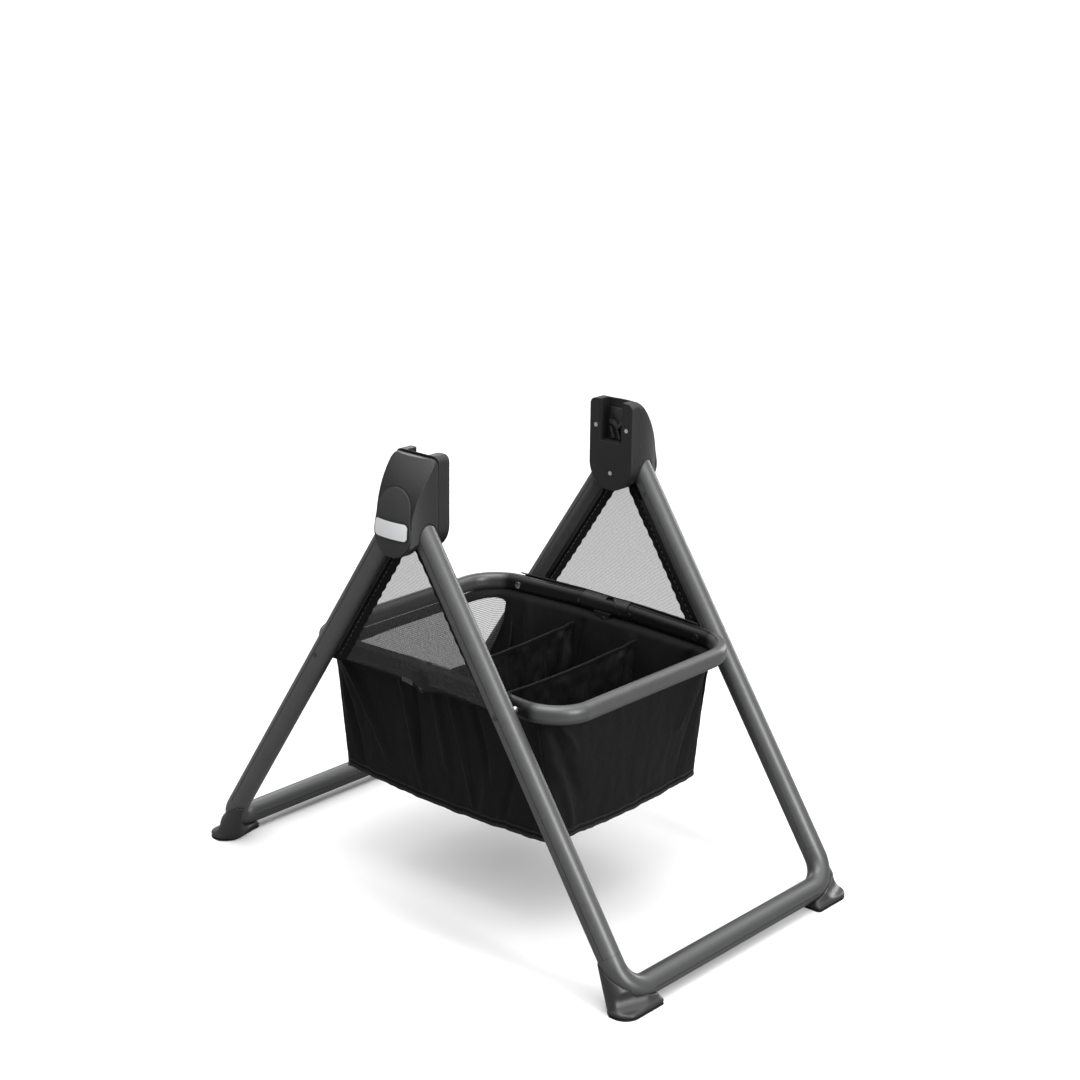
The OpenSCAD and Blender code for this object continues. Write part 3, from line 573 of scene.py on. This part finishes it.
def cloth_grid(name, point, across, down, size, material, thick=0.0, keep=None):
    """A grid over u and v from 0 to 1 with point(u, v) in metres, cloth coordinates in metres,
    and its thickness made real. keep(u, v) says which cells are cloth."""
    mesh = bpy.data.meshes.new(name)
    places = [point(i / across, j / down) for j in range(down + 1) for i in range(across + 1)]
    row = across + 1
    cells = [(j * row + i, j * row + i + 1, (j + 1) * row + i + 1, (j + 1) * row + i)
             for j in range(down) for i in range(across)
             if keep is None or keep((i + 0.5) / across, (j + 0.5) / down)]
    mesh.from_pydata(places, [], cells)
    layer = mesh.uv_layers.new(name="cloth")
    for loop in mesh.loops:
        j, i = divmod(loop.vertex_index, row)
        layer.data[loop.index].uv = (i / across * size[0], (1 - j / down) * size[1])
    if keep is not None:
        cut = bmesh.new()
        cut.from_mesh(mesh)
        bmesh.ops.delete(cut, geom=[v for v in cut.verts if not v.link_faces], context="VERTS")
        cut.to_mesh(mesh)
        cut.free()
    made = to_object(name, mesh, material)
    if thick > 0:
        shell = made.modifiers.new("thickness", "SOLIDIFY")
        shell.thickness = thick
        shell.offset = 0
        bake(made)
    return made


def tube_along(name, path, radius, material, flat=1.0, closed=False, sides=8):
    """A cord-like edge or piping along points, squeezed by flat across its second axis."""
    mesh = bpy.data.meshes.new(name)
    count = len(path)
    rings, faces = [], []
    side_axis = None
    for i, place in enumerate(path):
        before = path[i - 1] if (i > 0 or closed) else path[0]
        after = path[(i + 1) % count] if (i < count - 1 or closed) else path[-1]
        ahead = (after - before).normalized()
        if side_axis is None:
            side_axis = ahead.orthogonal().normalized()
        side_axis = (side_axis - ahead * side_axis.dot(ahead)).normalized()
        up = ahead.cross(side_axis)
        for k in range(sides):
            turn = 2 * math.pi * k / sides
            out = side_axis * (radius * math.cos(turn)) + up * (radius * flat * math.sin(turn))
            rings.append(place + out)
    for i in range(count if closed else count - 1):
        for k in range(sides):
            a, b = i * sides + k, i * sides + (k + 1) % sides
            c, d = (i + 1) % count * sides + (k + 1) % sides, (i + 1) % count * sides + k
            faces.append((a, b, c, d))
    if not closed:
        faces.append(tuple(range(sides - 1, -1, -1)))
        faces.append(tuple((count - 1) * sides + k for k in range(sides)))
    mesh.from_pydata(rings, [], faces)
    layer = mesh.uv_layers.new(name="cloth")
    for loop in mesh.loops:
        i, k = divmod(loop.vertex_index, sides)
        layer.data[loop.index].uv = (i * 0.004, k * 0.001)
    return to_object(name, mesh, material)


def join(name, pieces):
    """Several meshes as one piece."""
    with bpy.context.temp_override(active_object=pieces[0], selected_editable_objects=pieces):
        bpy.ops.object.join()
    pieces[0].name = name
    return pieces[0]


# %% cloth finishes
def cloth_coordinates(tree):
    """Metres along and across the cloth."""
    return add_node(tree, "UVMap", uv_map="cloth").outputs["UV"]


def woven(name, tone, yarn, depth, sheen, roughness=0.85, twill=False):
    """Cloth with its weave as relief, a soft sheen and a trace of dust and pressing."""
    material, tree, shader = new_finish(name, Specular_IOR_Level=0.15, Sheen_Weight=sheen,
                                        Sheen_Roughness=0.45)
    threads = cloth_coordinates(tree)
    if twill:
        weave = use_group(tree, "twill", cloth=threads, rib=yarn)
        share = weave["Thread"]
    else:
        weave = use_group(tree, "plain_weave", cloth=threads, yarn=yarn)
        share = weave["Over"]
    place = add_node(tree, "TexCoord").outputs["Object"]
    patch = use_group(tree, "speckle", place=place, grain_size=3.0, patch_size=70.0)
    base = blend_colour(tree, share, grey(tone * 0.7), grey(tone * 1.3))
    worn = compute(tree, "MULTIPLY", patch["Patch"], 0.35)
    tree.links.new(blend_colour(tree, worn, base, grey(tone * 1.7)), shader.inputs["Base Color"])
    gloss = compute(tree, "MULTIPLY_ADD", patch["Tone"], 0.08, roughness - 0.04)
    tree.links.new(gloss, shader.inputs["Roughness"])
    bump(tree, shader, weave["Height"], depth)
    return material


def netting(name, tone, pitch, open_share, haze):
    """Knitted net: dark threads with clear holes; haze is the share of loose fibre across a hole."""
    material, tree, shader = new_finish(name, Specular_IOR_Level=0.35)
    weave = use_group(tree, "net", cloth=cloth_coordinates(tree), pitch=pitch, open=open_share)
    place = add_node(tree, "TexCoord").outputs["Object"]
    patch = use_group(tree, "speckle", place=place, grain_size=2.0, patch_size=50.0)
    colour = blend_colour(tree, patch["Patch"], grey(tone * 0.8), grey(tone * 1.2))
    tree.links.new(colour, shader.inputs["Base Color"])
    tree.links.new(compute(tree, "MULTIPLY_ADD", patch["Tone"], 0.1, 0.6), shader.inputs["Roughness"])
    cover = 0.84
    tree.links.new(compute(tree, "MULTIPLY_ADD", weave["Thread"], cover - haze, haze), shader.inputs["Alpha"])
    return material


CLOTH = {
    "wall": woven("dense_black_cloth", 0.0045, 0.5, 0.00008, 0.015, 0.68),
    "lining": woven("coated_lining", 0.0030, 0.5, 0.00006, 0.0, 0.75),
    "divider": woven("divider_cloth", 0.005, 0.5, 0.00006, 0.02, 0.6),
    "band": woven("grey_twill_band", 0.013, 1.5, 0.00018, 0.05, 0.85, twill=True),
    "tape": woven("binding_tape", 0.0035, 1.0, 0.0001, 0.02, 0.75),
    "piping": woven("cloth_piping", 0.010, 0.6, 0.00006, 0.1, 0.55),
    "thread": woven("sewing_thread", 0.055, 0.3, 0.00002, 0.2, 0.6),
    "label": woven("woven_label", 0.045, 0.5, 0.00006, 0.2, 0.8),
    "window": netting("window_net", 0.02, 3.6, 0.50, 0.50),
    "panel": netting("fine_panel_net", 0.03, 2.6, 0.50, 0.56),
}
print("cloths:", ", ".join(CLOTH))


# %% the tub's shape
tub_low, tub_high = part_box("storage_basket")
FLARE_X, FLARE_Y = 0.022, 0.031
FLOOR_X, FLOOR_Y = tub_high[0] - FLARE_X, tub_high[1] - FLARE_Y
TUB_TOP, TUB_BOTTOM = tub_high[2], tub_low[2] - 0.006
RIM_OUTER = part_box("front_rim_tube")[1][0]
UNDER_BAR = 0.3525


def tub_outline(rise):
    """Half sizes and corner radius of the tub at a height from 0 (floor) to 1 (top)."""
    flare = 0.6 * rise + 0.4 * rise ** 4
    return FLOOR_X + FLARE_X * flare, FLOOR_Y + FLARE_Y * flare, 0.009 + 0.039 * rise * rise


# each wall: which way it faces, whether its length runs along X, and how far round each corner it
# goes, in degrees, at its start and its end (seen from outside, left to right)
WALLS = {
    "front": ((0, -1), True, 78, 45),
    "right": ((1, 0), False, 45, 12),
    "rear": ((0, 1), True, 78, 45),
    "left": ((-1, 0), False, 45, 12),
}


def on_wall(side, u, rise):
    """The place on a wall, and its outward direction."""
    facing, long_x, start_turn, end_turn = WALLS[side]
    half_x, half_y, corner = tub_outline(rise)
    along, depth = (half_x, half_y) if long_x else (half_y, half_x)
    straight = along - corner
    start = straight + corner * math.radians(start_turn)
    end = straight + corner * math.radians(end_turn)
    run = -start + u * (start + end)
    beyond = max(0.0, abs(run) - straight)
    turn = beyond / corner
    sign = math.copysign(1, run)
    shift = sign * (min(abs(run), straight) + corner * math.sin(turn))
    depth -= corner * (1 - math.cos(turn))
    out = Vector((facing[0], facing[1], 0))
    to_right = Vector((-facing[1], facing[0], 0))
    direction = out * math.cos(turn) + to_right * (sign * math.sin(turn))
    return out * depth + to_right * shift, direction


# folds on each wall: (u0, v0, u1, v1, width, height in mm); v is 0 at the top and 1 at the bottom
FOLDS = {
    "left": [(0.06, 0.04, 0.24, 0.80, 0.020, 5), (0.03, 0.20, 0.10, 0.95, 0.02, -4),
             (0.36, 0.05, 0.41, 0.97, 0.016, 4), (0.43, 0.02, 0.40, 0.85, 0.012, -4),
             (0.52, 0.0, 0.55, 0.7, 0.022, 3.5), (0.60, 0.05, 0.66, 0.9, 0.014, 4),
             (0.70, 0.02, 0.76, 0.75, 0.018, -3.5), (0.80, 0.4, 0.70, 0.98, 0.03, 3),
             (0.93, 0.1, 0.80, 0.98, 0.025, -3)],
    "front": [(0.08, 0.02, 0.16, 0.30, 0.02, 4), (0.05, 0.1, 0.20, 0.75, 0.03, -5),
              (0.90, 0.03, 0.82, 0.5, 0.016, 4), (0.97, 0.1, 0.86, 0.95, 0.03, -4),
              (0.16, 0.98, 0.05, 0.35, 0.03, 4), (0.45, 0.95, 0.70, 0.8, 0.06, 1.5)],
    "right": [(0.1, 0.05, 0.25, 0.9, 0.03, 4), (0.38, 0.1, 0.36, 0.8, 0.02, -3),
              (0.62, 0.1, 0.64, 0.8, 0.02, 3), (0.9, 0.05, 0.8, 0.9, 0.03, -4)],
    "rear": [(0.04, 0.03, 0.12, 0.95, 0.03, 3), (0.95, 0.03, 0.85, 0.95, 0.03, -3)],
}
WALL_SEEDS = {"front": 3, "right": 5, "rear": 9, "left": 14}


def wall_height(side, u, v):
    """How far the cloth stands out from the plain wall, in metres."""
    hold = smooth(v, 0.0, 0.10) * (1 - 0.75 * smooth(v, 0.9, 1.0))
    folds = sum(1.5 * height * ridge(u, v, line, 0.8 * width) for *line, width, height in FOLDS[side])
    seed = WALL_SEEDS[side]
    drape = crumple((u * 0.45, v * 0.06, 0), 0.035, seed) * 1.6
    fine = crumple((u * 0.45, v * 0.12, 0.3), 0.014, seed) * 0.5
    belly = 1.5 if side == "rear" else 4.0 * math.sin(math.pi * u)
    return MM * (hold * (folds + (drape + fine)) + belly * math.sin(math.pi * v))


def wall_point(side, u, v, lift=0.0):
    """A point on a sewn wall. v runs from the top edge, under the rim, down to the floor seam."""
    sag = 0.008 * math.sin(math.pi * u) if side in ("left", "front", "right") else 0.003
    ripple = 0.0016 * crumple((u * 0.5, 0, 0), 0.03, 21) * smooth(v, 0.8, 1.0)
    bottom = TUB_BOTTOM - sag + ripple
    flat, out = on_wall(side, u, 1 - v)
    top = rim_edge(flat, out)
    drop = smooth(v, 0.0, 0.06)
    z = top.z * (1 - v) + bottom * v
    place = Vector((flat.x, flat.y, z)) + out * (wall_height(side, u, v) * drop + lift)
    if v < 0.06:
        edge = top + out * lift
        place = edge.lerp(place, drop)
    return place


def rim_edge(flat, out):
    """Where a wall's top edge is sewn: to the rim's outer face along the sides, and under the bare
    bar at front and rear."""
    sideways = abs(out.x) ** 2
    reach = 0.020 * sideways + 0.006 * (1 - sideways)
    height = 0.3585 * sideways + UNDER_BAR * (1 - sideways)
    lift = 0.010 * sideways * (1 - smooth(abs(flat.y), 0.05, 0.23))
    return Vector((flat.x, flat.y, height + lift * 0.4)) + out * reach


print("tub from", round(TUB_BOTTOM, 3), "to", round(TUB_TOP, 3), "m high")

# %% [markdown]
# ## The basket
# Each wall is its own cut, sewn to its neighbours with a bound seam a little way round the corner.
# The rear wall is mostly a window of net in a frame of cloth. Two dividers cross the tub.


# %% basket walls
# corners of the rear window: distance towards +X from the wall's middle, and height
WINDOW = [(-0.128, 0.30), (-0.116, 0.334), (-0.090, 0.340), (0.13, 0.341), (0.182, 0.338),
          (0.197, 0.326), (0.182, 0.290), (0.164, 0.256), (0.147, 0.238), (0.11, 0.233),
          (-0.09, 0.233), (-0.118, 0.240), (-0.130, 0.262)]


def round_off(corners, steps=6):
    """A closed smooth outline through the corners (Catmull-Rom)."""
    made = []
    count = len(corners)
    for i in range(count):
        a, b, c, d = (corners[(i + k) % count] for k in (-1, 0, 1, 2))
        for step in range(steps):
            t = step / steps
            made.append(tuple(0.5 * (2 * b[n] + (c[n] - a[n]) * t
                                     + (2 * a[n] - 5 * b[n] + 4 * c[n] - d[n]) * t * t
                                     + (3 * b[n] - a[n] - 3 * c[n] + d[n]) * t ** 3) for n in (0, 1)))
    return made


def inside(outline, x, y):
    """Whether a point lies inside a closed outline."""
    hit = False
    for (x0, y0), (x1, y1) in zip(outline, outline[1:] + outline[:1]):
        if (y0 > y) != (y1 > y) and x < (x1 - x0) * (y - y0) / (y1 - y0) + x0:
            hit = not hit
    return hit


WINDOW_EDGE = round_off(WINDOW)


def rear_span(v):
    """How far the rear wall reaches to either side of its middle, at v down from its top edge."""
    half_x, half_y, corner = tub_outline(1 - v)
    straight = half_x - corner
    facing, long_x, start_turn, end_turn = WALLS["rear"]
    return straight + corner * math.radians(start_turn), straight + corner * math.radians(end_turn)


def rear_place(run, z, lift=0.0):
    """The place on the rear wall at a run (towards +X) from its middle and a height."""
    v = (UNDER_BAR - z) / (UNDER_BAR - TUB_BOTTOM)
    start, end = rear_span(v)
    return wall_point("rear", (start - run) / (start + end), v, lift)


def is_window(u, v):
    """Whether a place on the rear wall lies in the window."""
    start, end = rear_span(v)
    return inside(WINDOW_EDGE, start - u * (start + end), UNDER_BAR * (1 - v) + TUB_BOTTOM * v)


def soft(piece, node):
    """Lets a cloth piece ride with the hubs and stand for a CAD node."""
    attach(piece, "hubs")
    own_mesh(piece)
    if node:
        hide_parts(node)
    return piece


def trim(piece):
    """A small sewn part that goes with the cloth but isn't a sheet itself."""
    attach(piece, "hubs")
    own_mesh(piece)
    return piece


WALL_CUT = {"front": (0.42, 0.195), "right": (0.47, 0.195), "rear": (0.42, 0.195), "left": (0.47, 0.195)}
WALL_CLOTH = 0.0016
for side in ("front", "right", "left"):
    wall = cloth_grid("tub_%s_wall" % side, lambda u, v: wall_point(side, u, v), 150, 60,
                      WALL_CUT[side], CLOTH["wall"], WALL_CLOTH)
    soft(wall, "storage_basket")
rear_frame = cloth_grid("tub_rear_frame", lambda u, v: wall_point("rear", u, v), 220, 100,
                        WALL_CUT["rear"], CLOTH["wall"], WALL_CLOTH, keep=lambda u, v: not is_window(u, v))
soft(rear_frame, "storage_basket")


WINDOW_CUT = (0.345, 0.120)


def window_point(u, v):
    """The net's own grid, a little larger than the opening."""
    return rear_place(-0.137 + u * WINDOW_CUT[0], 0.347 - v * WINDOW_CUT[1], -0.0006)


window = cloth_grid("rear_window_net", window_point, 100, 40, WINDOW_CUT, CLOTH["window"])
soft(window, "rear_mesh_window")
edge_path = [rear_place(run, z, 0.0012) for run, z in WINDOW_EDGE]
trim(tube_along("rear_window_binding", edge_path, 0.0042, CLOTH["tape"], 0.3, closed=True))


FLOOR_CUT = (2 * FLOOR_X, 2 * FLOOR_Y)
FLOOR_CORNERS = [wall_point(side, u, 1) for side, u in (("front", 0), ("front", 1), ("rear", 1), ("rear", 0))]


def floor_point(u, v):
    """The tub's floor: its four edges are the walls' lower seams, and it hangs evenly between them."""
    along = wall_point("front", u, 1.0) * (1 - v) + wall_point("rear", 1 - u, 1.0) * v
    across = wall_point("left", 1 - v, 1.0) * (1 - u) + wall_point("right", v, 1.0) * u
    near_edge = FLOOR_CORNERS[0] * (1 - u) + FLOOR_CORNERS[1] * u
    far_edge = FLOOR_CORNERS[2] * (1 - u) + FLOOR_CORNERS[3] * u
    place = along + across - (near_edge * (1 - v) + far_edge * v)
    place.z = max(place.z, TUB_BOTTOM - 0.010)
    return place


tub_floor = cloth_grid("tub_floor", floor_point, 60, 70, FLOOR_CUT, CLOTH["lining"], WALL_CLOTH)
soft(tub_floor, "storage_basket")

# %% floor board
board = bpy.data.objects.new("folding_floor_board", frame["nodes"]["basket_floor_board"].data.copy())
scene.collection.objects.link(board)
trim(board)
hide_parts("basket_floor_board")
print("floor board", [round(side, 3) for side in board.dimensions])

# %% basket seams and bindings
for side in WALLS:
    hem = [wall_point(side, i / 120, 1.0, 0.001) for i in range(121)]
    trim(tube_along("tub_%s_hem" % side, hem, 0.0027, CLOTH["piping"]))
    fell = [wall_point(side, i / 120, 0.955, 0.0008) for i in range(121)]
    trim(tube_along("tub_%s_fell_seam" % side, fell, 0.0013, CLOTH["piping"]))
    corner = [wall_point(side, 0.0, j / 40, 0.0008) for j in range(41)]
    trim(tube_along("tub_%s_corner_seam" % side, corner, 0.0019, CLOTH["tape"]))
    inner = [wall_point(side, 0.0, j / 40, -0.002) for j in range(41)]
    trim(tube_along("tub_%s_inner_corner_seam" % side, inner, 0.0019, CLOTH["tape"]))
print("tub walls, window, floor and seams")


# %% dividers
DIVIDER_CUT = (0.36, 0.165)


def divider_half(z):
    """Half the tub's inner width at a height."""
    rise = min(1.0, max(0.0, (z - TUB_BOTTOM) / (TUB_TOP - TUB_BOTTOM)))
    return tub_outline(rise)[0] - 0.002


def make_divider(node, y, seed):
    """A hanging wall across the tub with a bound top edge, gathered towards its ends."""
    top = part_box(node)[1][2] + 0.006

    def point(u, v):
        """Gathers near both ends, wrinkles between them, and a top edge that dips in its middle."""
        z = (top - 0.006 * math.sin(math.pi * u)) * (1 - v) + (TUB_BOTTOM + 0.002) * v
        x = (2 * u - 1) * divider_half(z)
        near_end = math.exp(-((1 - u) / 0.12) ** 2) + 0.6 * math.exp(-(u / 0.12) ** 2)
        folds = math.sin(u * 62 + v * 7 + seed) * near_end * 5 * (1 - 0.5 * v)
        drape = crumple((u * 0.38, v * 0.07, 0.2), 0.04, seed) * 8
        drape += crumple((u * 0.38, v * 0.10, 0.2), 0.014, seed) * 1.8
        stretch = smooth(v, 0.0, 0.08) * 0.8 + 0.2
        return Vector((x, y + MM * (folds + drape) * stretch * (1 - smooth(v, 0.85, 1)), z))

    piece = cloth_grid(node + "_cloth", point, 150, 60, DIVIDER_CUT, CLOTH["divider"], 0.0022)
    soft(piece, node)
    edge = [point(i / 100, 0.0) for i in range(101)]
    trim(tube_along(node + "_binding", edge, 0.0024, CLOTH["tape"], 1.3))


make_divider("rear_divider", 0.055, 4)
make_divider("front_divider", -0.070, 11)
print("two dividers")

# %% [markdown]
# ## Net panels and bands
# A triangle of fine net closes each end of the stand. Its long edges carry a welt that slides into
# the rails on the legs, and its foot is sewn into the twill band that wraps the rim.


# %% net panels
LEAN = math.tan(math.radians(33.566))
PIVOT_Y, PIVOT_Z = 0.0185, 0.612
panel_low, panel_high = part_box("left_mesh_panel")
PANEL_X = (abs(panel_low[0]) + abs(panel_high[0])) / 2
BAND_X = abs(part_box("left_side_band")[0][0])
NET_TOP, NET_FOOT, WELT_TOP = 0.564, 0.362, 0.586
NET_INSET, WELT_INSET = 0.019, 0.0185
STITCHES, FIRST_STITCH, STITCH_STEP = 24, 0.10, 0.0365


def leg_line(z):
    """Distance of the legs' centre lines from the middle, at a height."""
    return PIVOT_Y + (PIVOT_Z - z) * LEAN


def panel_half(z, inset):
    """Half width of the net between the legs, measured square to the leg by inset."""
    return leg_line(z) - inset / math.cos(math.atan(LEAN))


def panel_point(sign, u, v):
    """v from the hub (0) down to the band (1); u from rear to front."""
    z = NET_TOP * (1 - v) + NET_FOOT * v
    across = 1 - 2 * u
    y = across * max(0.004, panel_half(z, NET_INSET))
    pull = smooth(v, 0.55, 1.0) * (1 - abs(across) ** 3)
    slack = 0.0035 * math.sin(math.pi * v) * (1 - across * across)
    wave = 0.0010 * crumple((across * 0.2, v * 0.2, 0.1 * sign), 0.03, 8)
    x = PANEL_X - pull * (PANEL_X - BAND_X - 0.0005) - slack + wave
    return Vector((sign * x, y, z))


def welt_point(sign, facing, u, v, lift=0.0):
    """A point on the strip along a leg: u from the leg to its wavy inner edge, v from the top down."""
    z = WELT_TOP * (1 - v) + NET_FOOT * v
    outer = panel_half(z, WELT_INSET)
    inner = outer - (0.0165 + 0.0008 * math.sin(v * 95)) * 1.2
    y = (outer * (1 - u) + max(0.001, inner) * u) * facing
    across = y / max(0.004, panel_half(z, NET_INSET))
    centre = panel_point(sign, (1 - across) / 2, max(0.0, (NET_TOP - z) / (NET_TOP - NET_FOOT)))
    return Vector((centre.x + sign * lift, y, z))


def make_panel(side, sign):
    """The net, and along each leg a sewn strip with a row of stitches on both faces."""
    node = side + "_mesh_panel"
    net = cloth_grid(node + "_net", lambda u, v: panel_point(sign, u, v), 90, 70, (0.30, 0.19),
                     CLOTH["panel"])
    for loop in net.data.loops:
        place = net.data.vertices[loop.vertex_index].co
        net.data.uv_layers["cloth"].data[loop.index].uv = (place.y, place.z)
    soft(net, node)
    for end, facing in (("rear", 1), ("front", -1)):
        strip = cloth_grid("%s_%s_border" % (node, end), lambda u, v: welt_point(sign, facing, u, v), 6, 120,
                           (0.018, 0.22), CLOTH["tape"], 0.0022)
        soft(strip, None)
        stitches = []
        for face in (0.0016, -0.0016):
            for k in range(STITCHES):
                starts = FIRST_STITCH + k * STITCH_STEP
                path = [welt_point(sign, facing, 0.40, starts + run, face) for run in (0.0, 0.010, 0.021)]
                stitches.append(tube_along("stitch", path, 0.00055, CLOTH["thread"], sides=6))
        trim(join("%s_%s_stitches" % (node, end), stitches))


for side, sign in (("left", -1), ("right", 1)):
    make_panel(side, sign)
print("two net panels")


# %% bands
BAND_CUT = (0.352, 0.04)
BAND_REAR = 0.186


def band_point(sign, u, v, lift=0.0):
    """The band wraps the rim's outer side: v from its top edge round to its lower edge."""
    y = BAND_REAR - u * BAND_CUT[0]
    knuckle = math.exp(-((y + 0.004) / 0.020) ** 2)
    nose = math.exp(-((y + 0.006) / 0.024) ** 2)
    top_z, low_z = 0.3885 - 0.0015 * knuckle, 0.3565 - 0.0075 * nose
    slope = 0.004 * (abs(y) / 0.17) ** 1.5
    swell = 0.0028 * knuckle
    reach = [RIM_OUTER + out for out in (-0.008, 0.0015, 0.0035, 0.0035, 0.001)]
    middle_z = (top_z + low_z) / 2
    heights = [top_z, top_z - 0.004, middle_z + 0.004, middle_z - 0.006, low_z]
    spot = v * 4
    i = min(3, int(spot))
    f = spot - i
    f = f * f * (3 - 2 * f) * 0.3 + f * 0.7
    x = reach[i] * (1 - f) + reach[i + 1] * f
    z = heights[i] * (1 - f) + heights[i + 1] * f - slope
    wrinkle = 0.0006 * crumple((y, z * 0.6, 0.5), 0.02, 31) * math.sin(math.pi * v)
    return Vector((sign * (x + swell * math.sin(math.pi * v) + wrinkle + lift), y, z))


for side, sign in (("left", -1), ("right", 1)):
    node = side + "_side_band"
    band = cloth_grid(node + "_cloth", lambda u, v: band_point(sign, u, v), 150, 20, BAND_CUT,
                      CLOTH["band"], 0.0016)
    soft(band, node)
    edges = (("piping", 0.0, 0.0004, 0.0013, "band"), ("seam", 1.0, 0.0006, 0.0014, "tape"))
    for edge, v, lift, radius, cloth in edges:
        path = [band_point(sign, i / 120, v, lift) for i in range(121)]
        trim(tube_along("%s_%s" % (node, edge), path, radius, CLOTH[cloth]))


def label_point(u, v):
    """A small tab that hangs over the left band's lower part."""
    along = (BAND_REAR - 0.036 + u * 0.022) / BAND_CUT[0]
    return band_point(-1, along, 0.86, 0.0016) + Vector((0, 0, -v * 0.008 + 0.001))


label = cloth_grid("side_label_cloth", label_point, 12, 6, (0.022, 0.010), CLOTH["label"], 0.0006)
soft(label, "side_label")
print("bands and label")
